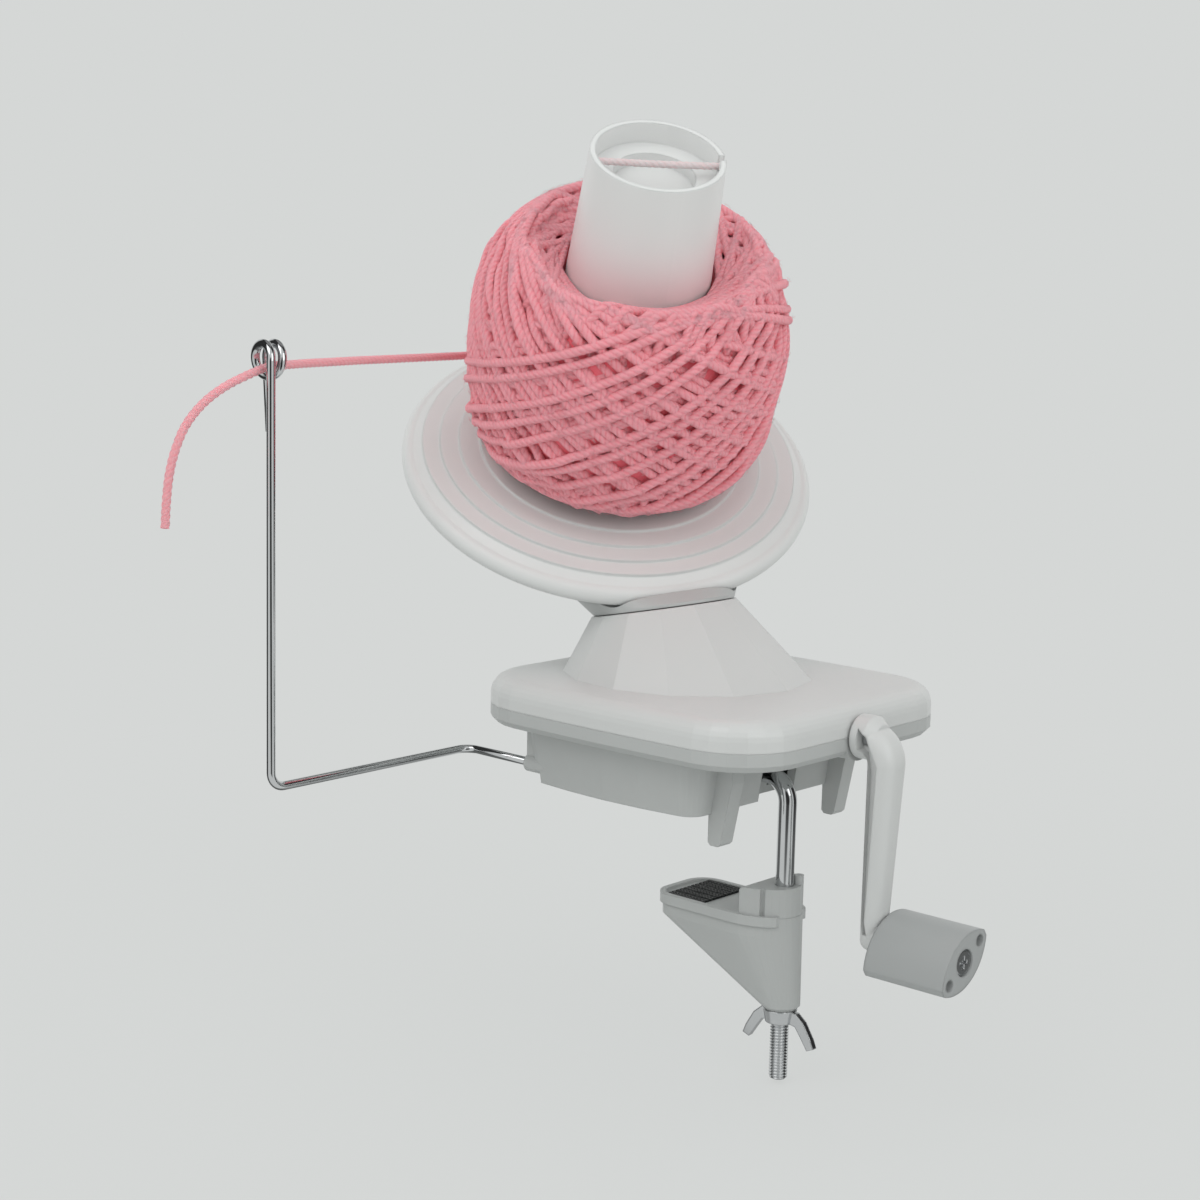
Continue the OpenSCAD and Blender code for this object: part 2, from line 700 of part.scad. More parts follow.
module ring_gear() {
  z = -ring_cone * cos(ring_cone_a);
  r = ring_cone * sin(ring_cone_a);
  pitch = PI * spool_module;
  in_r = r - 0.75 * spool_module / cos(ring_cone_a);
  out_r = r + 0.95 * spool_module / cos(ring_cone_a);
  h = -disc_under - z;
  space = pitch * (1 - tooth_share);
  outline = teeth(ring_teeth, out_r, 0.85 * space, in_r, 1.12 * space);
  color(grey) on_spool() translate([0, 0, z]) difference() {
    linear_extrude(h) polygon(ngon(90, pan_r));
    translate([0, 0, -cut])
      linear_extrude(h + 2 * cut, scale = (-z - h - cut) / (-z + cut)) polygon((-z + cut) / -z * outline);
  }
}

module spool_tube() {
  l = tube_rise + disc_top;
  well = 4;
  well_r = 13;
  lid = 2;
  in_r = tube_r(tube_rise - tube_recess) - tube_wall;
  color(white) on_spool() translate([0, 0, -disc_top]) difference() {
    cylinder(r1 = tube_foot_r, r2 = tube_top_r, h = l);
    translate([0, 0, -cut])
      cylinder(r1 = tube_r(-disc_top - cut) - tube_wall, r2 = in_r, h = l - tube_recess - well - lid + cut);
    translate([0, 0, l - tube_recess]) cylinder(r = in_r, h = tube_recess + cut);
    translate([0, 0, l - tube_recess - well]) cylinder(r = well_r, h = well + cut);
    rotate([0, 0, notch_turn]) translate([0, -tail_d / 2 - gap, l - notch_h])
      cube([tube_foot_r, tail_d + 2 * gap, notch_h + cut]);
  }
}

// Yarn: a plain core with one layer of wound loops, the tail across the tube and the feeding strand
function ball_profile(t, out) =
  let (e = 3.2, k = pow(pow(abs(cos(t)), e) + pow(abs(sin(t)), e), -1 / e))
  [(ball_r - yarn_d + out) * k * cos(t), (ball_half_h - yarn_d + out) * k * sin(t)];
ball_end_a = acos((tube_foot_r + 4) / ball_r) - 3;
ball_hollow = 16;

module yarn_core() {
  in_r = tube_foot_r + gap;
  end_z = ball_profile(ball_end_a, -0.4)[1];
  color(pink) on_spool() rotate_extrude()
    polygon(concat(
      [for (t = [-ball_end_a:ball_end_a / 10:ball_end_a]) ball_profile(t, -0.4)],
      [[in_r, end_z - ball_hollow], [in_r, ball_hollow - end_z]]
    ));
}

rings_per_loop = 24;
loop_lean = 7;

// The winding climbs the ball from foot to shoulder, each loop leaning the same way
function winding_point(i) =
  let (
    n = yarn_loops * rings_per_loop,
    turn = 360 * i / rings_per_loop,
    ease = sin(180 * i / n),
    t = ball_end_a * (2 * i / n - 1) + loop_lean * ease * sin(turn),
    p = ball_profile(t, yarn_d / 2 + 0.2)
  )
  [p[0] * cos(turn), p[0] * sin(turn), p[1]];

function winding_path() =
  let (
    n = yarn_loops * rings_per_loop,
    core = [for (i = [0:n]) winding_point(i)],
    first = core[0] - yarn_d * unit(core[1] - core[0]),
    last = core[n] + yarn_d * unit(core[n] - core[n - 1])
  )
  concat([first], core, [last]);

function least_gap(path) =
  min([for (i = [0:2:len(path) - rings_per_loop - 8], j = [rings_per_loop - 7:rings_per_loop + 7])
    norm(path[i] - path[i + j])]) - yarn_d;

module yarn_winding() {
  path = winding_path();
  echo(least_gap_of_winding_mm = least_gap(path));
  color(pink) on_spool() tube(path, yarn_d / 2, 6, [for (p = path) [0, 0, 1]]);
}

module yarn_tail() {
  z = tube_rise - notch_h + gap + tail_d / 2;
  end = tube_r(tube_rise) - 0.5;
  start = -tube_r(tube_rise - tube_recess) + tube_wall + gap;
  path = [for (i = [0:8]) [start + (end - start) * i / 8, 0, z]];
  color(pink) on_spool() rotate([0, 0, notch_turn]) tube(path, tail_d / 2, 8, [for (p = path) [0, 0, 1]]);
}

// Feeding strand, from beside the ball through the guide's loop to its loose end
strand_route = [
  [-96.4, -14.5, 135.3], [-95.6, -23, 135.2], [-94, -34, 135.2], [-92, -48, 135.2], [-90, -62, 135.2],
  [-87, -76, 135.3], [-84, -90, 135.3], [-81, -104, 135.3], [-78.5, -114, 135.2],
  [-77, -121.7, 134.95], [-77, -130, 132.6], [-78, -138, 129.2], [-79, -145, 124.6],
  [-80, -150.5, 118.5], [-80.5, -154, 111.5], [-81, -156, 104],
  [-81.2, -157, 96], [-81.3, -157.5, 88]
];

module yarn_strand() {
  color(pink) tube(strand_route, yarn_d / 2 - 0.1, 8, [for (p = strand_route) [0, 0, 1]]);
}

// Guide arm: leg in the socket, run along the table, upright and a loop of one and a half turns
module bend(r, a) {
  rotate_extrude(angle = a) translate([r, 0]) circle(r = wire_r);
}

module guide_arm() {
  b = wire_bend_r;
  loop_x = guide_x - loop_r;
  path = concat(
    [[guide_x, upright_y, loop_z - 4]],
    [for (t = [0:15:360 * loop_turns])
      [loop_x + loop_r * cos(t), upright_y + loop_pitch * t / 360, loop_z + loop_r * sin(t)]],
    [[loop_x - loop_r + 1.5, upright_y + loop_pitch * loop_turns, loop_z - loop_tail]]
  );
  color(steel) {
    along_x(guide_x + b, guide_y, guide_z) cylinder(r = wire_r, h = guide_reach + guide_depth - b - gap);
    translate([guide_x + b, guide_y - b, guide_z]) rotate([0, 0, 90]) bend(b, 90);
    translate([guide_x, guide_y - b, guide_z]) rotate([90, 0, 0])
      cylinder(r = wire_r, h = guide_side - 2 * b);
    translate([guide_x, upright_y + b, guide_z + b]) rotate([0, 90, 0]) rotate([0, 0, -90]) bend(b, 90);
    translate([guide_x, upright_y, guide_z + b]) cylinder(r = wire_r, h = loop_z - 3 - guide_z - b);
    tube(path, wire_r, 10, [for (p = path) [0, 1, 0.01]]);
  }
}

// Clamp: bent rod, jaw with its pad, and wing nut
module clamp_rod() {
  b = rod_bend_r;
  color(steel) {
    along_x(rod_leg_end, 0, rod_leg_z) cylinder(r = rod_r, h = rod_x - b - rod_leg_end);
    translate([rod_x - b, 0, rod_leg_z - b]) rotate([90, 0, 0])
      rotate_extrude(angle = 90) translate([b, 0]) circle(r = rod_r);
    translate([rod_x, 0, -rod_drop]) cylinder(r = rod_r, h = rod_drop + rod_leg_z - b);
  }
}

// Plan of the jaw, seen from the rod: broad rounded tip, straight sides and an oval end
function jaw_oval(inset, a) =
  [jaw_end - jaw_round_l + (jaw_round_l - inset) * cos(a), (jaw_w / 2 - inset) * sin(a)];
function jaw_plan(inset) =
  let (
    b = jaw_w / 2 - inset,
    c = max(jaw_tip_r - inset, 1),
    tip = jaw_end - jaw_l + inset
  )
  concat(
    [for (a = [-90:10:90]) jaw_oval(inset, a)],
    [for (s = [1, -1], i = [0:6]) [tip + c, s * (b - c)] + polar(c, (s > 0 ? 90 : 180) + 15 * i)]
  );

module jaw_slab(inset, low, high) {
  translate([rod_x, 0, deck_z + low]) linear_extrude(high - low) polygon(jaw_plan(inset));
}

module jaw_body() {
  hull() {
    jaw_slab(jaw_skin, jaw_edge - jaw_tip_h, 0);
    jaw_slab(jaw_skin + jaw_edge, -jaw_tip_h, 0);
    translate([rod_x, 0, jaw_foot_z]) cylinder(r = jaw_foot_r - jaw_edge, h = 1, $fn = 32);
    translate([rod_x, 0, jaw_foot_z + jaw_edge]) cylinder(r = jaw_foot_r, h = 1, $fn = 32);
  }
}

module jaw_rim() {
  intersection() {
    difference() {
      jaw_slab(0, -rim_low, rim_high);
      jaw_slab(2 * jaw_skin, 0, rim_high + cut);
    }
    translate([rod_x + rim_end - jaw_l, -jaw_w, deck_z - jaw_h]) cube([jaw_l, 2 * jaw_w, 2 * jaw_h]);
  }
}

// Stop for the table's edge: as wide as the jaw, with its front corner rounded and a slot on each side
module jaw_stop() {
  corner = [stop_round - stop_x, stop_h - stop_round];
  slot_a = acos((jaw_round_l - jaw_end - slot_x) / (jaw_round_l - stop_skin));
  slot_y = jaw_oval(stop_skin, slot_a)[1] - slot_r / 2;
  difference() {
    intersection() {
      jaw_slab(stop_skin, -1, stop_h);
      translate([rod_x, jaw_w, deck_z]) rotate([90, 0, 0]) linear_extrude(2 * jaw_w)
        polygon(concat(
          [for (a = [180:-15:90]) corner + polar(stop_round, a)],
          [[jaw_end, stop_h], [jaw_end, -cut], [-stop_x, -cut]]
        ));
    }
    for (s = [-1, 1]) translate([rod_x - slot_x, s * slot_y, deck_z + rim_high])
      cylinder(r = slot_r, h = stop_h);
  }
}

module clamp_jaw() {
  color(grey) difference() {
    union() {
      jaw_body();
      jaw_rim();
      jaw_stop();
      translate([rod_x + 2.6, 4, deck_z - 1]) cylinder(r = 1.6, h = stop_h + fin_h + 1);
    }
    translate([rod_x, 0, jaw_foot_z - cut]) cylinder(r = rod_r + 0.08, h = jaw_h + stop_h + fin_h + 2 * cut);
    translate([rod_x - pad_x, -pad_w / 2, deck_z - pad_sink]) cube([pad_l, pad_w, pad_t]);
  }
}

module jaw_pad() {
  rib = 2;
  color("dimgray") translate([rod_x - pad_x, -pad_w / 2, deck_z - pad_sink]) difference() {
    cube([pad_l, pad_w, pad_t]);
    for (y = [rib:rib:pad_w - 1]) translate([-cut, y - 0.3, pad_t - 0.6]) cube([pad_l + 2 * cut, 0.6, 1]);
  }
}

module wing_nut() {
  wing_t = 2.2;
  wing_reach = 13.5;
  wing_drop = 12;
  color(steel) translate([rod_x, 0, jaw_foot_z]) rotate([0, 0, nut_turn]) difference() {
    union() {
      translate([0, 0, -nut_h]) cylinder(r1 = 4.8, r2 = 5.6, h = nut_h);
      for (a = [0, 180]) rotate([90, 0, a]) translate([0, 0, -wing_t / 2]) linear_extrude(wing_t)
        polygon([
          [4, -0.6], [6.5, -0.6], [9.5, -3.2], [wing_reach - 1.2, -8], [wing_reach, 1 - wing_drop],
          [wing_reach - 2.4, -wing_drop], [wing_reach - 4.6, -8.6], [6.4, -5], [4, -nut_h]
        ]);
    }
    translate([0, 0, -2 * wing_drop]) cylinder(r = rod_r + run_fit, h = 3 * wing_drop);
  }
}

base_housing();
top_cover();
cover_screws();
fixed_post();
sun_pinion();
clamp_rod();
crank_shaft();
crank_gear();
crank_arm();
knob_screw();
crank_knob();
tilt_carrier();
carrier_sleeve();
carrier_pinion();
spool_spindle();
spindle_washer();
spindle_screw();
spool_disc();
ring_gear();
spool_tube();
yarn_core();
yarn_winding();
yarn_tail();
guide_arm();
yarn_strand();
clamp_jaw();
jaw_pad();
wing_nut();
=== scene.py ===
"""Looks of the yarn ball winder: cross-wound yarn, threaded rod, plated wire and moulded plastic."""
import json
import math

import bpy
import numpy as np
from mathutils import Matrix, Vector


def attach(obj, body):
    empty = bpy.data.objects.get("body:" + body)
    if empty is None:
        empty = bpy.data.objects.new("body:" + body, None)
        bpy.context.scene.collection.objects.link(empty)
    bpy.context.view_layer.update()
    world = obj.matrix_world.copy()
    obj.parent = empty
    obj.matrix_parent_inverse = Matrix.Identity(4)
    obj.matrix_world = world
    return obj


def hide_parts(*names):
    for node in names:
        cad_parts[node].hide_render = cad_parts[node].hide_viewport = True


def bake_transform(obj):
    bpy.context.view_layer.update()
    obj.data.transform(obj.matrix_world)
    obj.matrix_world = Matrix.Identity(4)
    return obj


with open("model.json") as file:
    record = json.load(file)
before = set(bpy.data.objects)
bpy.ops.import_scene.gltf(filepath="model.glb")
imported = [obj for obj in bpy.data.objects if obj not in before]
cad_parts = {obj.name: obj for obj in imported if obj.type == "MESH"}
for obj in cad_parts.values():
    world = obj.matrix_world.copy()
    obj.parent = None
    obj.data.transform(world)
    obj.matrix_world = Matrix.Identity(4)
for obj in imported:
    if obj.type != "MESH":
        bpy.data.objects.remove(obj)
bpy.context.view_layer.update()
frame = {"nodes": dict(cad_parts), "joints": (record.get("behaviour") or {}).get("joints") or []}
MM = 0.001
TAU = 2 * math.pi
scene = bpy.context.scene
nodes = frame["nodes"]
joints = {j["name"]: j for j in frame["joints"]}


# Camera at the photograph's viewpoint
CAMERA_AT = (0.4557, -0.5612, 0.1740)
CAMERA_RIGHT = (0.74057, 0.67160, 0.02241)
CAMERA_UP = (-0.12150, 0.10104, 0.98743)
CAMERA_LENS = 67.5
SENSOR = 36.0


def add_camera():
    data = bpy.data.cameras.new("camera")
    data.lens = CAMERA_LENS
    data.sensor_width = SENSOR
    right = Vector(CAMERA_RIGHT).normalized()
    up = Vector(CAMERA_UP)
    up = (up - right * up.dot(right)).normalized()
    turn = Matrix((right, up, right.cross(up))).transposed()
    camera = bpy.data.objects.new("camera", data)
    camera.matrix_world = Matrix.Translation(CAMERA_AT) @ turn.to_4x4()
    scene.collection.objects.link(camera)
    scene.camera = camera


add_camera()


# Shader helpers; noise scales are per metre
EDGE_SAMPLES = 6


def new_material(name):
    material = bpy.data.materials.new(name)
    material.use_nodes = True
    tree = material.node_tree
    return material, tree, tree.nodes["Principled BSDF"]


def add_node(tree, kind, **settings):
    node = tree.nodes.new(kind)
    for key, value in settings.items():
        if hasattr(node, key):
            setattr(node, key, value)
        else:
            node.inputs[key].default_value = value
    return node


def set_sockets(node, values):
    for name, value in values.items():
        node.inputs[name].default_value = value


def noise(tree, scale, detail=3.0, roughness=0.55):
    coords = add_node(tree, "ShaderNodeTexCoord")
    texture = add_node(tree, "ShaderNodeTexNoise", Scale=scale, Detail=detail, Roughness=roughness)
    tree.links.new(coords.outputs["Object"], texture.inputs["Vector"])
    return texture.outputs["Fac"]


def ramp(tree, factor, low, high, start=0.3, end=0.7):
    node = add_node(tree, "ShaderNodeValToRGB")
    node.color_ramp.elements[0].position = start
    node.color_ramp.elements[1].position = end
    node.color_ramp.elements[0].color = (*low, 1)
    node.color_ramp.elements[1].color = (*high, 1)
    tree.links.new(factor, node.inputs["Fac"])
    return node.outputs["Color"]


def spread(tree, factor, middle, share):
    """Values that lie up to a share of the middle below and above it."""
    node = add_node(tree, "ShaderNodeMapRange")
    set_sockets(node, {"To Min": middle * (1 - share), "To Max": middle * (1 + share)})
    tree.links.new(factor, node.inputs["Value"])
    return node.outputs["Result"]


def rise(tree, value, start, end):
    """0 below the start, 1 above the end; falls if the end comes first."""
    node = add_node(tree, "ShaderNodeMapRange")
    set_sockets(node, {"From Min": start, "From Max": end})
    tree.links.new(value, node.inputs["Value"])
    return node.outputs["Result"]


def combined(tree, operation, first, second):
    node = add_node(tree, "ShaderNodeMath", operation=operation)
    tree.links.new(first, node.inputs[0])
    tree.links.new(second, node.inputs[1])
    return node.outputs["Value"]


def weighted(tree, first, weight, second):
    """The first value times its weight, plus the second."""
    node = add_node(tree, "ShaderNodeMath", operation="MULTIPLY_ADD")
    tree.links.new(first, node.inputs[0])
    node.inputs[1].default_value = weight
    tree.links.new(second, node.inputs[2])
    return node.outputs["Value"]


def mixed(tree, factor, first, second):
    node = add_node(tree, "ShaderNodeMixShader")
    tree.links.new(factor, node.inputs["Fac"])
    tree.links.new(first, node.inputs[1])
    tree.links.new(second, node.inputs[2])
    return node.outputs["Shader"]


def bump(tree, shader, height, distance, strength, edge=0.0):
    """Relief on the surface, and edges that look rounded by the given radius."""
    node = add_node(tree, "ShaderNodeBump", Distance=distance, Strength=strength)
    tree.links.new(height, node.inputs["Height"])
    if edge:
        rounded = add_node(tree, "ShaderNodeBevel", samples=EDGE_SAMPLES, Radius=edge)
        tree.links.new(rounded.outputs["Normal"], node.inputs["Normal"])
    tree.links.new(node.outputs["Normal"], shader.inputs["Normal"])


# Moulded plastic
PLASTIC_CLOUDS = 14
PLASTIC_CLOUD_SHADE = 0.97
PLASTIC_GRAIN = 900
PLASTIC_GRAIN_HEIGHT = 0.2 * MM
PLASTIC_GLOSS_SPREAD = 0.15
PLASTIC_IOR = 1.49
COAT_ROUGHNESS = 0.12


def plastic(name, color, roughness, grain, edge, coat=0.0):
    material, tree, shader = new_material(name)
    clouds = noise(tree, PLASTIC_CLOUDS, detail=2)
    shade = [c * PLASTIC_CLOUD_SHADE for c in color]
    tree.links.new(ramp(tree, clouds, shade, color), shader.inputs["Base Color"])
    fine = noise(tree, PLASTIC_GRAIN, detail=4)
    tree.links.new(spread(tree, fine, roughness, PLASTIC_GLOSS_SPREAD), shader.inputs["Roughness"])
    bump(tree, shader, fine, PLASTIC_GRAIN_HEIGHT, grain, edge)
    set_sockets(shader, {
        "IOR": PLASTIC_IOR,
        "Coat Weight": coat,
        "Coat Roughness": COAT_ROUGHNESS,
    })
    return material


# Plated and plain metal
METAL_CLOUDS = 60
METAL_CLOUD_SHADE = 0.93
METAL_GRAIN = 650
METAL_GRAIN_HEIGHT = 0.1 * MM
METAL_GLOSS_SPREAD = 0.3


def metal(name, color, roughness, grain, edge=0.0):
    material, tree, shader = new_material(name)
    shader.inputs["Metallic"].default_value = 1.0
    fine = noise(tree, METAL_GRAIN, detail=5)
    shade = [c * METAL_CLOUD_SHADE for c in color]
    tree.links.new(ramp(tree, noise(tree, METAL_CLOUDS), shade, color), shader.inputs["Base Color"])
    tree.links.new(spread(tree, fine, roughness, METAL_GLOSS_SPREAD), shader.inputs["Roughness"])
    bump(tree, shader, fine, METAL_GRAIN_HEIGHT, grain, edge)
    return material


# Yarn: soft, fuzzy and striped by its plies, with light that enters a little way; the stripes darken its
# colour between the plies as painted shade
YARN_GRAIN = 1600
YARN_CLOUDS = 90
YARN_CLOUD_WEIGHT = 0.35
PLY_SHADE_WEIGHT = 1.3
PLY_HALF = 0.5
YARN_TONES = (0.5, 1.15)
YARN_ROUGHNESS = 0.95
YARN_SHINE = 0.12
YARN_SHEEN = 0.35
YARN_SHEEN_ROUGHNESS = 0.5
YARN_GLOW_WEIGHT = 0.35
YARN_GLOW = (1.0, 0.45, 0.45)
YARN_GLOW_DEPTH = 0.6 * MM
YARN_RELIEF_HEIGHT = 0.7 * MM
YARN_RELIEF = 0.8


def ply_shade_stripes(tree):
    """Rises and falls across the yarn's plies, read from the yarn's own lay; in the colour this is
    painted shade between the plies.
    """
    lay = add_node(tree, "ShaderNodeUVMap", uv_map="ply")
    parts = add_node(tree, "ShaderNodeSeparateXYZ")
    tree.links.new(lay.outputs["UV"], parts.inputs["Vector"])
    phase = combined(tree, "SUBTRACT", parts.outputs["X"], parts.outputs["Y"])
    wave = add_node(tree, "ShaderNodeMath", operation="PINGPONG")
    tree.links.new(phase, wave.inputs[0])
    wave.inputs[1].default_value = PLY_HALF
    return wave.outputs["Value"]


def yarn_material(name, light, dark, plied=True):
    material, tree, shader = new_material(name)
    fibre = noise(tree, YARN_GRAIN, detail=6, roughness=0.7)
    height = weighted(tree, noise(tree, YARN_CLOUDS), YARN_CLOUD_WEIGHT, fibre)
    # the ply stripes darken the colour between the plies as painted shade, and also shape the bump
    if plied:
        height = weighted(tree, ply_shade_stripes(tree), PLY_SHADE_WEIGHT, height)
    tree.links.new(ramp(tree, height, dark, light, *YARN_TONES), shader.inputs["Base Color"])
    set_sockets(shader, {
        "Roughness": YARN_ROUGHNESS,
        "Specular IOR Level": YARN_SHINE,
        "Sheen Weight": YARN_SHEEN,
        "Sheen Tint": (*light, 1),
        "Sheen Roughness": YARN_SHEEN_ROUGHNESS,
        "Subsurface Weight": YARN_GLOW_WEIGHT,
        "Subsurface Radius": YARN_GLOW,
        "Subsurface Scale": YARN_GLOW_DEPTH,
    })
    bump(tree, shader, height, YARN_RELIEF_HEIGHT, YARN_RELIEF)
    return material


# Black rubber with fine cross ribs, its colour lighter where the ribs stand high
WAVE_RADIANS = 20
RIB_SPACING = 1.3 * MM
RIB_WEIGHT = 0.8
RIB_HEIGHT = 0.4 * MM
RIB_RELIEF = 0.8
RUBBER_GRAIN = 500
RUBBER_TONES = (0.65, 1.2)
RUBBER_ROUGHNESS = 0.7
RUBBER_EDGE = 0.2 * MM


def rib_lines(tree, coords, direction):
    """Waves one rib spacing long: Blender's wave texture turns 20 radians in each unit."""
    scale = TAU / WAVE_RADIANS / RIB_SPACING
    wave = add_node(tree, "ShaderNodeTexWave", bands_direction=direction, Scale=scale, Distortion=0.0)
    tree.links.new(coords, wave.inputs["Vector"])
    return wave.outputs["Fac"]


def rubber(name, low, high):
    material, tree, shader = new_material(name)
    coords = add_node(tree, "ShaderNodeTexCoord").outputs["Object"]
    ribs = combined(tree, "MULTIPLY", rib_lines(tree, coords, "X"), rib_lines(tree, coords, "Y"))
    rib_tone = weighted(tree, ribs, RIB_WEIGHT, noise(tree, RUBBER_GRAIN, detail=4))
    tree.links.new(ramp(tree, rib_tone, low, high, *RUBBER_TONES), shader.inputs["Base Color"])
    shader.inputs["Roughness"].default_value = RUBBER_ROUGHNESS
    bump(tree, shader, ribs, RIB_HEIGHT, RIB_RELIEF, RUBBER_EDGE)
    return material


# The materials, and the CAD nodes that wear them
DISC_WHITE = plastic(
    "disc_plastic", (0.70, 0.705, 0.70), roughness=0.38, grain=0.03, edge=1.1 * MM, coat=0.05,
)
# The tube's white: the spool's plastic painted lighter than on the disc, to offset the shade in its
# recess and at its foot
TUBE_WHITE_PAINTED_LIGHTER = plastic(
    "tube_plastic_painted_lighter", (0.77, 0.775, 0.77), roughness=0.38, grain=0.03, edge=1.1 * MM, coat=0.05,
)
WHITE = plastic(
    "white_plastic", (0.61, 0.615, 0.61), roughness=0.36, grain=0.03, edge=0.9 * MM, coat=0.08,
)
GREY = plastic("grey_plastic", (0.46, 0.47, 0.465), roughness=0.42, grain=0.10, edge=0.5 * MM)
KNOB_GREY = plastic("knob_plastic", (0.37, 0.38, 0.38), roughness=0.36, grain=0.06, edge=1.2 * MM)
GEAR = plastic("gear_plastic", (0.62, 0.62, 0.60), roughness=0.5, grain=0.08, edge=0.2 * MM)
RUBBER = rubber("pad_rubber", (0.014, 0.015, 0.015), (0.13, 0.13, 0.13))
CHROME = metal("chrome", (0.70, 0.71, 0.72), roughness=0.08, grain=0.02)
NUT_CHROME = metal("nut_chrome", (0.64, 0.65, 0.66), roughness=0.09, grain=0.02, edge=0.7 * MM)
STEEL = metal("steel", (0.60, 0.61, 0.62), roughness=0.25, grain=0.05)
YARN = yarn_material("yarn", (1.0, 0.41, 0.46), (0.95, 0.28, 0.33))
# Free strand and loose hairs: a paler copy of the ball's yarn, painted lighter
YARN_FREE_LIT = yarn_material("free_yarn_painted_lighter", (0.97, 0.46, 0.50), (0.92, 0.34, 0.39))
# Yarn's first end: a paler copy of the ball's yarn, painted lighter
YARN_PAINTED_PALE = yarn_material("yarn_end", (0.82, 0.70, 0.71), (0.80, 0.64, 0.65))
# Deep yarn: darker and redder than the ball's yarn, painted shade for the gaps between the loops
YARN_DEEP_SHADE = yarn_material("yarn_deep_painted_shade", (1.0, 0.24, 0.29), (0.98, 0.19, 0.24), plied=False)

NODE_MATERIALS = {
    WHITE: ["top_cover", "crank_arm"],
    DISC_WHITE: ["spool_disc"],
    TUBE_WHITE_PAINTED_LIGHTER: ["spool_tube"],
    GREY: ["base_housing", "tilt_carrier", "clamp_jaw"],
    KNOB_GREY: ["crank_knob"],
    GEAR: ["sun_pinion", "crank_gear", "carrier_pinion", "ring_gear"],
    RUBBER: ["jaw_pad"],
    NUT_CHROME: ["wing_nut", "knob_screw"],
    STEEL: [
        "cover_screws", "fixed_post", "crank_shaft",
        "carrier_sleeve", "spool_spindle", "spindle_washer", "spindle_screw",
    ],
}


def dress_nodes():
    for material, names in NODE_MATERIALS.items():
        for name in names:
            mesh = nodes[name].data
            mesh.materials.clear()
            mesh.materials.append(material)


dress_nodes()


# Mesh helpers
NEARLY_UPRIGHT = 0.1
ROUTE_STEPS = 12


def mesh_object(name, points, faces, material, body, replaced=()):
    mesh = bpy.data.meshes.new(name)
    mesh.from_pydata([tuple(p) for p in points], [], faces)
    mesh.polygons.foreach_set("use_smooth", [True] * len(mesh.polygons))
    mesh.materials.append(material)
    piece = bpy.data.objects.new(name, mesh)
    scene.collection.objects.link(piece)
    if body:
        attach(piece, body)
    if replaced:
        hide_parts(*replaced)
    return piece


def unit_rows(rows):
    return rows / np.linalg.norm(rows, axis=1, keepdims=True)


def carried_frames(path):
    """Sides and ups of the path's points, carried along without twist."""
    tangents = unit_rows(np.gradient(path, axis=0))
    side = np.cross(tangents[0], (0.0, 0.0, 1.0))
    if np.linalg.norm(side) < NEARLY_UPRIGHT:
        side = np.cross(tangents[0], (0.0, 1.0, 0.0))
    sides = [side / np.linalg.norm(side)]
    for tangent in tangents[1:]:
        side = sides[-1] - tangent * np.dot(sides[-1], tangent)
        sides.append(side / np.linalg.norm(side))
    sides = np.array(sides)
    return sides, np.cross(tangents, sides)


def band_faces(first, second, count):
    """Faces between two rings of points, given by the number of each ring's first point."""
    faces = []
    for k in range(count):
        k2 = (k + 1) % count
        faces.append((first + k, first + k2, second + k2, second + k))
    return faces


def tube(path, radii, count):
    """Points and faces of a closed tube; radii is a number or an array of rings by sides."""
    path = np.asarray(path, float)
    sides, ups = carried_frames(path)
    turn = np.arange(count) * TAU / count
    radii = np.broadcast_to(radii, (len(path), count))
    points = (
        path[:, None]
        + (radii * np.cos(turn))[..., None] * sides[:, None]
        + (radii * np.sin(turn))[..., None] * ups[:, None]
    ).reshape(-1, 3)
    faces = []
    for ring in range(len(path) - 1):
        faces += band_faces(ring * count, (ring + 1) * count, count)
    faces.append(tuple(range(count - 1, -1, -1)))
    last = (len(path) - 1) * count
    faces.append(tuple(range(last, last + count)))
    return points, faces


def lengths_along(path):
    return np.concatenate([[0.0], np.cumsum(np.linalg.norm(np.diff(path, axis=0), axis=1))])


def even_points(path, step):
    """The path again, with points at even steps."""
    path = np.asarray(path, float)
    along = lengths_along(path)
    wanted = np.linspace(0.0, along[-1], max(2, int(round(along[-1] / step)) + 1))
    return np.column_stack([np.interp(wanted, along, path[:, k]) for k in range(3)])


def smooth_route(points, step):
    """Catmull-Rom curve through the route's points, with points at even steps."""
    points = np.asarray(points, float)
    padded = np.vstack([2 * points[0] - points[1], points, 2 * points[-1] - points[-2]])
    fine = []
    for i in range(1, len(padded) - 2):
        a, b, c, d = padded[i - 1:i + 3]
        for t in np.linspace(0.0, 1.0, ROUTE_STEPS, endpoint=False):
            fine.append(0.5 * (
                2 * b + (c - a) * t
                + (2 * a - 5 * b + 4 * c - d) * t ** 2
                + (3 * b - a - 3 * c + d) * t ** 3
            ))
    fine.append(padded[-2])
    return even_points(fine, step)


# Yarn of three plies laid round each other
YARN_R = 1.5 * MM
PLIES = 3
PLY_PITCH = 6.5 * MM
PLY_DEPTH = 0.08
BALL_SIDES = 8
BALL_STEP = 2.0 * MM
FREE_SIDES = 15
FREE_STEP = 0.5 * MM


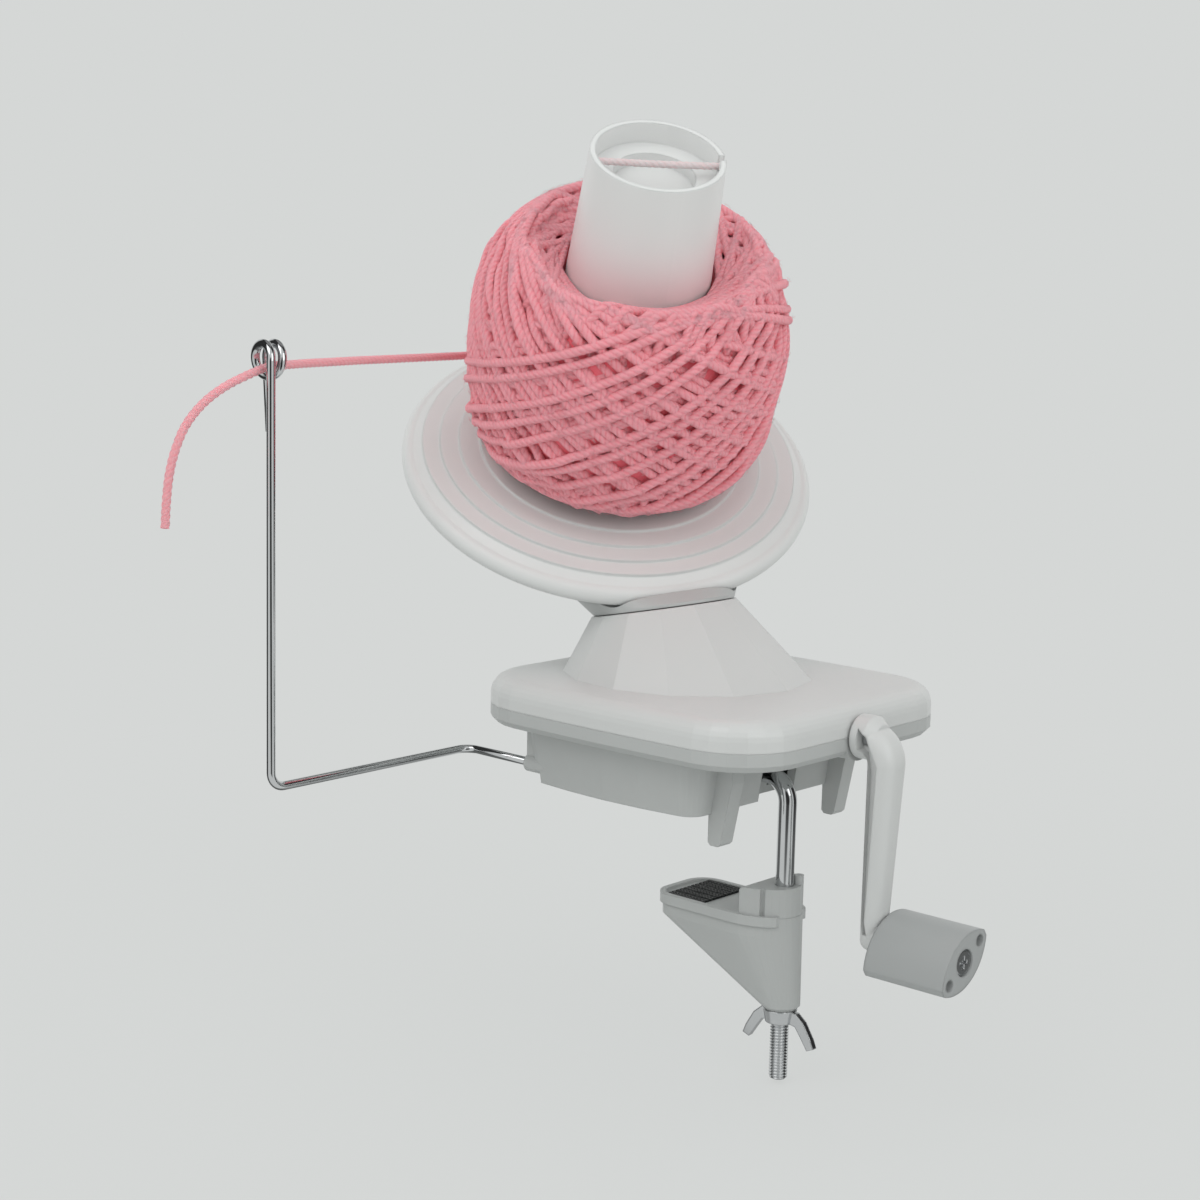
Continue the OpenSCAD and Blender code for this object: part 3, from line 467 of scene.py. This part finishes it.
def plied_tube(path, radius, count, depth):
    """Points and faces of one length of yarn, and its plies mapped onto the face corners."""
    around = PLIES * np.arange(count + 1) / count
    along = lengths_along(path) / PLY_PITCH * PLIES
    lobes = 1 - depth + depth * np.cos(TAU * (around[None, :-1] - along[:, None]))
    points, faces = tube(path, radius * lobes, count)
    walls = np.zeros((len(path) - 1, count, 4, 2))
    walls[..., 0, 0] = walls[..., 3, 0] = around[:-1]
    walls[..., 1, 0] = walls[..., 2, 0] = around[1:]
    walls[..., 0, 1] = walls[..., 1, 1] = along[:-1, None]
    walls[..., 2, 1] = walls[..., 3, 1] = along[1:, None]
    ends = np.zeros((2 * count, 2))
    return points, faces, np.vstack([walls.reshape(-1, 2), ends])


def yarn_piece(name, paths, radius, body, replaced=(), count=BALL_SIDES, depth=0.0, material=YARN):
    """One piece made of one or more lengths of yarn."""
    points, faces, corners = [], [], []
    for path in paths:
        more_points, more_faces, more_corners = plied_tube(path, radius, count, depth)
        first = len(points)
        points.extend(more_points)
        faces.extend(tuple(first + corner for corner in face) for face in more_faces)
        corners.append(more_corners)
    piece = mesh_object(name, points, faces, material, body, replaced)
    layer = piece.data.uv_layers.new(name="ply")
    layer.data.foreach_set("uv", np.vstack(corners).ravel())
    return piece


# Spool frame: origin at the ball's centre, Z along the spool's axis, X on its low side
def spool_frame():
    axis = Vector(joints["spool_spin"]["axis"]).normalized()
    post = Vector(joints["carrier_turn"]["axis"]).normalized()
    low = (axis * axis.dot(post) - post).normalized()
    return np.array((low, axis.cross(low), axis)).T, np.array(joints["spool_spin"]["pos_m"])


SPOOL_TURN, BALL_CENTRE = spool_frame()


def on_spool(points):
    return np.asarray(points) @ SPOOL_TURN.T + BALL_CENTRE


# Course of the ball's yarn, loop by loop: each loop leans with the spool's tilt and moves round a
# little from the one before. The last loops move round further, so they lie sparse on the dense
# ones, and the very last one ends where the strand comes in.
BALL_R = 54 * MM
BALL_HALF_H = 45 * MM
BALL_POWER_UP = 2.7
BALL_POWER_DOWN = 4.2
LOOPS = 118
LOOP_SHIFT = 0.021
LAST_LOOPS = 12
LAST_SHIFT = 0.038
LOOP_STRETCH = 1.1
LOOP_REACH = math.radians(47)
END_TURN = math.radians(-131)
END_PHASE = math.radians(-35)
PHASE_WAVER = 0.05
PHASE_WAVER_RATE = 0.37
REACH_SWAY = math.radians(3)
SWAY_WAVES = [
    # share, rate, start
    (0.6, 0.173, 0.0),
    (0.4, 0.0417, 1.0),
    (0.12, 7.31, 0.0),
]


def ball_surface(reach, out):
    """Radius and height on the ball's profile, for a polar angle and a distance outwards."""
    c, s = np.cos(reach), np.sin(reach)
    power = np.where(reach > 0, BALL_POWER_UP, BALL_POWER_DOWN)
    k = (np.abs(c) ** power + np.abs(s) ** power) ** (-1 / power)
    return (BALL_R + out) * k * c, (BALL_HALF_H + out) * k * s


def loop_course():
    """Turn and polar angle of the yarn along its whole course, and the points in each loop."""
    per_loop = int(TAU * BALL_R * LOOP_STRETCH / BALL_STEP)
    turn = END_TURN + (np.arange(LOOPS * per_loop) + 1 - LOOPS * per_loop) * TAU / per_loop
    back = turn - END_TURN
    last = np.maximum(back, -LAST_LOOPS * TAU)
    phase = END_PHASE + back + LAST_SHIFT * last + LOOP_SHIFT * (back - last)
    phase += PHASE_WAVER * np.sin(PHASE_WAVER_RATE * turn)
    sway = sum(share * np.sin(turn * rate + start) for share, rate, start in SWAY_WAVES)
    return turn, (LOOP_REACH + REACH_SWAY * sway) * np.sin(phase), per_loop


# Height of the yarn: each loop rests on what is already there, kept on a grid of cells. Where loops
# cross, the upper one keeps the share SQUASH of its thickness.
CELLS_ROUND = 340
CELLS_UP = 92
CELL_REACH = math.radians(55)
NEIGHBOURS = (-1, 0, 1)
NEIGHBOUR_FALL = 0.25 * YARN_R
SQUASH = 0.5
EASE_POINTS = 9
EASE_LEAD = 12
EASE_PASSES = 10
EASE_CELLS = 2
EASE_SPAN = 2 * EASE_CELLS + 1


def highest_near(grid):
    """Largest value among each cell and its neighbours."""
    best = grid.copy()
    for i in NEIGHBOURS:
        for j in NEIGHBOURS:
            best = np.maximum(best, np.roll(np.roll(grid, i, 0), j, 1))
    return best


def eased_grid(grid):
    """The laid surface without its small hills; it closes round the ball."""
    for _ in range(EASE_PASSES):
        closed = np.pad(grid, ((EASE_CELLS, EASE_CELLS), (0, 0)), mode="wrap")
        grid = sum(closed[i:i + CELLS_ROUND] for i in range(EASE_SPAN)) / EASE_SPAN
        longer = np.pad(grid, ((0, 0), (EASE_CELLS, EASE_CELLS)), mode="edge")
        grid = sum(longer[:, j:j + CELLS_UP] for j in range(EASE_SPAN)) / EASE_SPAN
    return grid


def lay_yarn():
    """Course of the yarn, and its height against the finished ball's eased surface."""
    turn, reach, per_loop = loop_course()
    column = np.round(turn / TAU * CELLS_ROUND).astype(int) % CELLS_ROUND
    row = np.round((reach / CELL_REACH + 1) / 2 * (CELLS_UP - 1)).astype(int)
    grid = np.zeros((CELLS_ROUND, CELLS_UP))
    height = np.zeros(len(turn))
    kernel = np.hanning(EASE_POINTS)
    kernel /= kernel.sum()
    for start in range(0, len(turn), per_loop):
        stop = start + per_loop
        span = np.arange(max(0, start - EASE_LEAD), min(len(turn), stop + EASE_LEAD))
        rest = highest_near(grid)[column[span], row[span]]
        taut = np.maximum.reduce([np.roll(rest, k) for k in NEIGHBOURS])
        eased = np.convolve(np.pad(taut, EASE_POINTS // 2, mode="edge"), kernel, mode="valid")
        inside = (span >= start) & (span < stop)
        height[start:stop] = eased[inside] + YARN_R
        top = height[start:stop] + YARN_R * (2 * SQUASH - 1)
        for i in NEIGHBOURS:
            for j in NEIGHBOURS:
                columns = (column[start:stop] + i) % CELLS_ROUND
                rows = np.clip(row[start:stop] + j, 0, CELLS_UP - 1)
                np.maximum.at(grid, (columns, rows), top - NEIGHBOUR_FALL * (i * i + j * j))
    return turn, reach, height - eased_grid(grid)[column, row]


# Older, smaller loops where they pass the tube, above and below
HOLLOW_LOOPS = 58
HOLLOW_CROWD = 1.8
HOLLOW_STEP = math.radians(137.5)
HOLLOW_TOP = (25.4 * MM, 26 * MM)
HOLLOW_FOOT = (30 * MM, -24 * MM)
HOLLOW_END = math.radians(30)
HOLLOW_INSET = 2.2 * YARN_R
HOLLOW_LIFT = 2.4 * YARN_R
HOLLOW_POINTS = 20
GOLDEN_SHARE = 0.618


def hollow_profile(side, foot):
    """Radii and heights from beside the tube up to the ball's rim and on under its last loops."""
    reach = np.linspace(LOOP_REACH, HOLLOW_END, HOLLOW_POINTS)
    inset = HOLLOW_INSET * (LOOP_REACH - reach) / (LOOP_REACH - HOLLOW_END)
    radius, up = ball_surface(side * reach, -YARN_R - inset)
    return np.concatenate([[foot[0]], radius]), np.concatenate([[foot[1]], up])


def hollow_arcs():
    arcs = []
    for side, foot in ((1, HOLLOW_TOP), (-1, HOLLOW_FOOT)):
        radii, ups = hollow_profile(side, foot)
        for i in range(HOLLOW_LOOPS):
            near = radii[0] + (radii[1] - radii[0]) * (i / HOLLOW_LOOPS) ** HOLLOW_CROWD
            half = math.sqrt(radii[-1] ** 2 - near ** 2)
            along = np.linspace(-half, half, int(2 * half / BALL_STEP))
            lift = side * HOLLOW_LIFT * (i * GOLDEN_SHARE % 1 - 0.5)
            turn = i * HOLLOW_STEP
            x = near * math.cos(turn) - along * math.sin(turn)
            y = near * math.sin(turn) + along * math.cos(turn)
            arcs.append(np.column_stack([x, y, np.interp(np.hypot(x, y), radii, ups) + lift]))
    return arcs


# Short hairs that stand off the ball's later loops, each a low arch that droops to its end
FIBRES = 5200
FIBRE_SEED = 7
FIBRE_R = 0.045 * MM
FIBRE_SIDES = 3
FIBRE_LENGTH = 3.5 * MM
FIBRE_ALONG = 0.5 * FIBRE_LENGTH
FIBRE_ACROSS = 0.3 * FIBRE_LENGTH
FIBRE_RISE = 0.9 * MM
FIBRE_LEAST_RISE = 0.2
FIBRE_LEAN = 1.2
FIBRE_LOOPS = 0.55
FIBRE_DROOP = 0.7
FIBRE_CREST = 1.43
FIBRE_STEPS = (0, 0.33, 0.67, 1)


def loose_fibres(path):
    chance = np.random.default_rng(FIBRE_SEED)
    picks = chance.integers(int((1 - FIBRE_LOOPS) * len(path)), len(path) - 2, FIBRES)
    tangents = unit_rows(path[picks + 1] - path[picks - 1])
    outwards = unit_rows(path[picks])
    sides = np.cross(tangents, outwards)
    lean = chance.uniform(-FIBRE_LEAN, FIBRE_LEAN, (FIBRES, 1))
    roots = path[picks] + YARN_R * (outwards * np.cos(lean) + sides * np.sin(lean))
    reach = chance.normal(0, FIBRE_ALONG, (FIBRES, 1)) * tangents
    reach += chance.normal(0, FIBRE_ACROSS, (FIBRES, 1)) * sides
    lift = chance.uniform(FIBRE_LEAST_RISE, 1.0, (FIBRES, 1)) * FIBRE_RISE * outwards
    hairs = []
    for root, across, up in zip(roots, reach, lift):
        hairs.append(np.array([
            root + across * t + up * 4 * t * (1 - FIBRE_DROOP * t) / FIBRE_CREST
            for t in FIBRE_STEPS
        ]))
    return hairs


# The ball: its yarn, hairs and older loops, with all but the highest crossings inside its profile
RELIEF = 0.36
CREST_PERCENT = 92
LEAST_INSET = 0.8 * YARN_R


def wind_ball():
    turn, reach, depth = lay_yarn()
    out = RELIEF * (depth - np.percentile(depth, CREST_PERCENT)) - YARN_R
    radius, up = ball_surface(reach, np.minimum(out, -LEAST_INSET))
    path = np.column_stack([radius * np.cos(turn), radius * np.sin(turn), up])
    yarn_piece("yarn_ball", [on_spool(path)], YARN_R, "spool", ["yarn_winding"])
    hairs = [on_spool(hair) for hair in loose_fibres(path)]
    # the hairs wear the yarn painted lighter
    yarn_piece("yarn_fuzz", hairs, FIBRE_R, "spool", count=FIBRE_SIDES, material=YARN_FREE_LIT)
    yarn_piece("older_loops", [on_spool(arc_path) for arc_path in hollow_arcs()], YARN_R, "spool")


# Deep yarn that closes the ball behind its loops, as a ring round the tube; darker and redder than the
# ball's yarn as painted shade in the gaps
CORE_INSET = 4.4 * MM
CORE_REACH = math.radians(44)
CORE_TOP = (24.2 * MM, 23 * MM)
CORE_FOOT = (27.3 * MM, -17 * MM)
CORE_RINGS = 40
CORE_SIDES = 96


def core_ball():
    reach = np.linspace(-CORE_REACH, CORE_REACH, CORE_RINGS)
    radius, up = ball_surface(reach, -CORE_INSET)
    outline = list(zip(radius, up)) + [CORE_TOP, CORE_FOOT]
    turn = np.arange(CORE_SIDES) * TAU / CORE_SIDES
    points = [(r * math.cos(a), r * math.sin(a), z) for r, z in outline for a in turn]
    faces = []
    for i in range(len(outline)):
        i2 = (i + 1) % len(outline)
        faces += band_faces(i * CORE_SIDES, i2 * CORE_SIDES, CORE_SIDES)
    mesh_object("yarn_heart", on_spool(points), faces, YARN_DEEP_SHADE, "spool", ["yarn_core"])


# Yarn's first end, across the tube's recess and into its notch, in yarn painted paler than the ball's
TAIL_Z = 66 * MM
TAIL_R = 1.2 * MM
TAIL_FROM = -19.3 * MM
TAIL_TO = 21 * MM
TAIL_SAG = 0.2 * MM
TAIL_POINTS = 60
NOTCH_TURN = math.radians(78)


def tail_yarn():
    along = np.linspace(TAIL_FROM, TAIL_TO, TAIL_POINTS)
    sag = -TAIL_SAG * np.sin(np.linspace(0, math.pi, TAIL_POINTS))
    across = (along * math.cos(NOTCH_TURN), along * math.sin(NOTCH_TURN))
    path = np.column_stack([*across, TAIL_Z + sag])
    yarn_piece(
        "yarn_end_in_notch", [on_spool(even_points(path, FREE_STEP))], TAIL_R, "spool", ["yarn_tail"],
        FREE_SIDES, PLY_DEPTH, YARN_PAINTED_PALE,
    )


# Feeding strand, in millimetres: from beside the ball, through the guide's loop, to its loose end
STRAND_ROUTE = [
    (-96.4, -14.5, 135.3), (-95.6, -23, 135.2), (-94, -34, 135.2), (-92, -48, 135.2), (-90, -62, 135.2),
    (-87, -76, 135.3), (-84, -90, 135.3), (-81, -104, 135.3), (-78.5, -114, 135.2),
    (-77, -121.7, 134.95), (-77, -130, 132.6), (-78, -138, 129.2), (-79, -145, 124.6),
    (-80, -150.5, 118.5), (-80.5, -154, 111.5), (-81, -156, 104), (-81.2, -157, 96), (-81.3, -157.5, 88),
]
STRAND_R = 1.4 * MM


def feed_strand():
    path = smooth_route(np.array(STRAND_ROUTE) * MM, FREE_STEP)
    # the strand wears the yarn painted lighter
    piece = yarn_piece(
        "feed_strand", [path], STRAND_R, None, ["yarn_strand"], FREE_SIDES, PLY_DEPTH, YARN_FREE_LIT,
    )
    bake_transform(piece)


wind_ball()
core_ball()
tail_yarn()
feed_strand()


# Clamp rod with its rolled thread
ROD_R = 3 * MM
ROD_X = 33 * MM
ROD_LEG_Z = 7 * MM
ROD_LEG_END = 4 * MM
ROD_BEND_R = 8 * MM
ROD_FOOT = -93 * MM
ROD_TIP = 0.8 * MM
ROD_TIP_TAPER = 0.2
ROD_SIDES = 36
LEG_POINTS = 4
ROD_BEND_POINTS = 17
SHANK_POINTS = 6
THREAD_TOP = -58 * MM
THREAD_PITCH = 1 * MM
THREAD_STEPS = 8
THREAD_DEPTH = 0.55 * MM
THREAD_STEEPNESS = 3.2
THREAD_CREST = 0.4
THREAD_RUNOUT = 2 * THREAD_PITCH


def rod_path():
    bend_x, bend_z = ROD_X - ROD_BEND_R, ROD_LEG_Z - ROD_BEND_R
    leg = [(x, 0, ROD_LEG_Z) for x in np.linspace(ROD_LEG_END, bend_x, LEG_POINTS)]
    bend = [
        (bend_x + ROD_BEND_R * math.sin(a), 0, bend_z + ROD_BEND_R * math.cos(a))
        for a in np.linspace(0, math.pi / 2, ROD_BEND_POINTS)[1:]
    ]
    shank = [(ROD_X, 0, z) for z in np.linspace(bend_z, THREAD_TOP, SHANK_POINTS)[1:]]
    cut = [(ROD_X, 0, z) for z in np.arange(THREAD_TOP, ROD_FOOT, -THREAD_PITCH / THREAD_STEPS)[1:]]
    return np.array(leg + bend + shank + cut + [(ROD_X, 0, ROD_FOOT)])


def clamp_rod():
    path = rod_path()
    height = path[:, 2:3]
    turn = np.arange(ROD_SIDES) / ROD_SIDES
    phase = (height / THREAD_PITCH + turn[None]) % 1.0
    groove = np.clip(THREAD_STEEPNESS * np.abs(phase - 0.5) - THREAD_CREST, 0, 1)
    fade = np.clip((THREAD_TOP - height) / THREAD_RUNOUT, 0, 1)
    above_tip = np.clip((height - ROD_FOOT) / ROD_TIP, 0, 1)
    radii = (ROD_R - THREAD_DEPTH * groove * fade) * (1 - ROD_TIP_TAPER * (1 - above_tip))
    points, faces = tube(path, radii, ROD_SIDES)
    mesh_object("threaded_rod", points, faces, CHROME, "base", ["clamp_rod"])


clamp_rod()


# Guide wire: leg, run, upright and loop as one bent wire
WIRE_R = 1.4 * MM
WIRE_SIDES = 20
WIRE_BEND_R = 5 * MM
WIRE_BEND_POINTS = 12
SOCKET = np.array((-44, -40, 5.5)) * MM
GUIDE_DEPTH = 21.7 * MM
GUIDE_X = -72 * MM
UPRIGHT_Y = -125 * MM
COIL_Z = 137 * MM
COIL_R = 5 * MM
COIL_PITCH = 4.4 * MM
COIL_TURNS = 1.5
COIL_POINTS = 73
COIL_END_DROP = 22 * MM
COIL_END_LEAN = 1.5 * MM


def wire_bend(centre, first, second):
    """Quarter circle round the centre, from one direction to another."""
    centre, first, second = (np.array(v, float) for v in (centre, first, second))
    return [
        centre + WIRE_BEND_R * (first * math.cos(a) + second * math.sin(a))
        for a in np.linspace(0, math.pi / 2, WIRE_BEND_POINTS)
    ]


def guide_wire():
    b = WIRE_BEND_R
    y, z = SOCKET[1], SOCKET[2]
    path = [np.array((SOCKET[0] + GUIDE_DEPTH, y, z))]
    path += wire_bend((GUIDE_X + b, y - b, z), (0, 1, 0), (-1, 0, 0))
    path += wire_bend((GUIDE_X, UPRIGHT_Y + b, z + b), (0, 0, -1), (0, -1, 0))
    for a in np.linspace(0, TAU * COIL_TURNS, COIL_POINTS):
        path.append(np.array((
            GUIDE_X - COIL_R + COIL_R * math.cos(a),
            UPRIGHT_Y + COIL_PITCH * a / TAU,
            COIL_Z + COIL_R * math.sin(a),
        )))
    path.append(np.array((
        GUIDE_X - 2 * COIL_R + COIL_END_LEAN,
        UPRIGHT_Y + COIL_PITCH * COIL_TURNS,
        COIL_Z - COIL_END_DROP,
    )))
    points, faces = tube(np.array(path), WIRE_R, WIRE_SIDES)
    mesh_object("guide_wire", points, faces, CHROME, "guide", ["guide_arm"])


guide_wire()


# Floor, backdrop and soft studio light, with dark flags painted into the reflections only; no flag
# stands in the scene
FLOOR_Z = -0.0945
FLOOR_HALF = 6.0
CARD = (0.665, 0.680, 0.672)
CARD_ROUGHNESS = 0.9
SHADOW_SHARE = 0.82
SHADOW_REACH = (0.22, 0.55)
FLAG_AHEAD = (0.66, -0.75, 0.0)
FLAG_NEAR = (0.90, 0.95)
FLAG_SIDE_BACK = (-0.62, -0.50)
FLAG_SIDE_FRONT = (0.32, 0.22)
FLAG_ABOVE = (-0.3, 0.3, 0.9)
FLAG_TOP = (0.80, 0.88)
FLAG_LEVEL = 0.05
FLAG_DISTANCE = (0.06, 0.14)
WORLD_LIGHT = 1.28


def seen_rays(tree):
    """1 for rays from the camera and for reflected and refracted ones."""
    paths = add_node(tree, "ShaderNodeLightPath")
    total = paths.outputs["Is Camera Ray"]
    for kind in ("Is Glossy Ray", "Is Transmission Ray"):
        total = combined(tree, "MAXIMUM", total, paths.outputs[kind])
    return total


def glossy_rays(tree):
    return add_node(tree, "ShaderNodeLightPath").outputs["Is Glossy Ray"]


def facing(tree, place, direction):
    """Cosine of the angle between a place, seen from the object, and a direction."""
    unit = add_node(tree, "ShaderNodeVectorMath", operation="NORMALIZE")
    tree.links.new(place, unit.inputs[0])
    dot = add_node(tree, "ShaderNodeVectorMath", operation="DOT_PRODUCT")
    tree.links.new(unit.outputs["Vector"], dot.inputs[0])
    dot.inputs[1].default_value = direction
    return dot.outputs["Value"]


def painted_flag_share(tree, place):
    """1 towards the painted dark flags round the object, which show only in reflections: one beside the
    camera, one at each side.
    """
    ahead = facing(tree, place, FLAG_AHEAD)
    near = rise(tree, ahead, *FLAG_NEAR)
    past_back = rise(tree, ahead, *FLAG_SIDE_BACK)
    before_front = rise(tree, ahead, *FLAG_SIDE_FRONT)
    sides = combined(tree, "MULTIPLY", past_back, before_front)
    return combined(tree, "MAXIMUM", near, sides)


def flagged_card(tree, share):
    return ramp(tree, share, CARD, [c * FLAG_LEVEL for c in CARD], 0.0, 1.0)


def painted_room_reflection(tree):
    """Painted reflection of a room: the pale card with dark flags painted on it, and one above."""
    place = add_node(tree, "ShaderNodeTexCoord").outputs["Generated"]
    above = rise(tree, facing(tree, place, FLAG_ABOVE), *FLAG_TOP)
    return flagged_card(tree, combined(tree, "MAXIMUM", painted_flag_share(tree, place), above))


def stage_material():
    """Card that takes the object's shadow near it and runs out into the plain backdrop; glossy rays see
    painted reflections of the dark flags in it.
    """
    material, tree, shader = new_material("card")
    set_sockets(shader, {"Base Color": (*CARD, 1), "Roughness": CARD_ROUGHNESS})
    place = add_node(tree, "ShaderNodeTexCoord").outputs["Object"]
    length = add_node(tree, "ShaderNodeVectorMath", operation="LENGTH")
    tree.links.new(place, length.inputs[0])
    away = length.outputs["Value"]
    flags = combined(tree, "MULTIPLY", painted_flag_share(tree, place), rise(tree, away, *FLAG_DISTANCE))
    # glossy rays see the painted flags in the card
    painted_flag_reflection = combined(tree, "MULTIPLY", flags, glossy_rays(tree))
    glow = add_node(tree, "ShaderNodeEmission", Strength=1.0)
    tree.links.new(flagged_card(tree, painted_flag_reflection), glow.inputs["Color"])
    fade = add_node(tree, "ShaderNodeMapRange", interpolation_type="SMOOTHSTEP")
    set_sockets(fade, {
        "From Min": SHADOW_REACH[0],
        "From Max": SHADOW_REACH[1],
        "To Min": SHADOW_SHARE,
    })
    tree.links.new(away, fade.inputs["Value"])
    share = combined(tree, "MULTIPLY", seen_rays(tree), fade.outputs["Result"])
    surface = mixed(tree, share, shader.outputs["BSDF"], glow.outputs["Emission"])
    tree.links.new(surface, tree.nodes["Material Output"].inputs["Surface"])
    return material


def add_stage():
    mesh = bpy.data.meshes.new("floor")
    half = FLOOR_HALF
    corners = [(-half, -half), (half, -half), (half, half), (-half, half)]
    mesh.from_pydata([(x, y, FLOOR_Z) for x, y in corners], [], [(0, 1, 2, 3)])
    mesh.materials.append(stage_material())
    floor = bpy.data.objects.new("floor", mesh)
    scene.collection.objects.link(floor)


def add_world():
    """Even light from all round, a plain backdrop, and a painted room with dark flags that shows only in
    reflections.
    """
    world = bpy.data.worlds.new("studio")
    scene.world = world
    world.use_nodes = True
    tree = world.node_tree
    light = tree.nodes["Background"]
    set_sockets(light, {"Color": (*CARD, 1), "Strength": WORLD_LIGHT})
    plain = add_node(tree, "ShaderNodeBackground", Color=(*CARD, 1), Strength=1.0)
    room = add_node(tree, "ShaderNodeBackground", Strength=1.0)
    tree.links.new(painted_room_reflection(tree), room.inputs["Color"])
    # glossy rays see the painted room with its dark flags, which lights nothing
    seen = mixed(tree, glossy_rays(tree), plain.outputs["Background"], room.outputs["Background"])
    surface = mixed(tree, seen_rays(tree), light.outputs["Background"], seen)
    tree.links.new(surface, tree.nodes["World Output"].inputs["Surface"])


LAMPS = [
    # name, place, size, power
    ("key", (-0.10, -0.85, 0.95), 0.7, 2.2),
    ("fill", (0.95, -0.15, 0.55), 0.7, 1.6),
    ("top", (-0.25, 0.25, 1.15), 0.9, 0.6),
]
LAMP_AIM = Vector((-0.02, 0.0, 0.06))


def add_lamps():
    for name, place, size, power in LAMPS:
        data = bpy.data.lights.new(name, "AREA")
        data.size = size
        data.energy = power
        lamp = bpy.data.objects.new(name, data)
        lamp.location = place
        lamp.rotation_euler = (LAMP_AIM - Vector(place)).to_track_quat("-Z", "Y").to_euler()
        scene.collection.objects.link(lamp)


add_stage()
add_world()
add_lamps()
scene.view_settings.view_transform = "Standard"
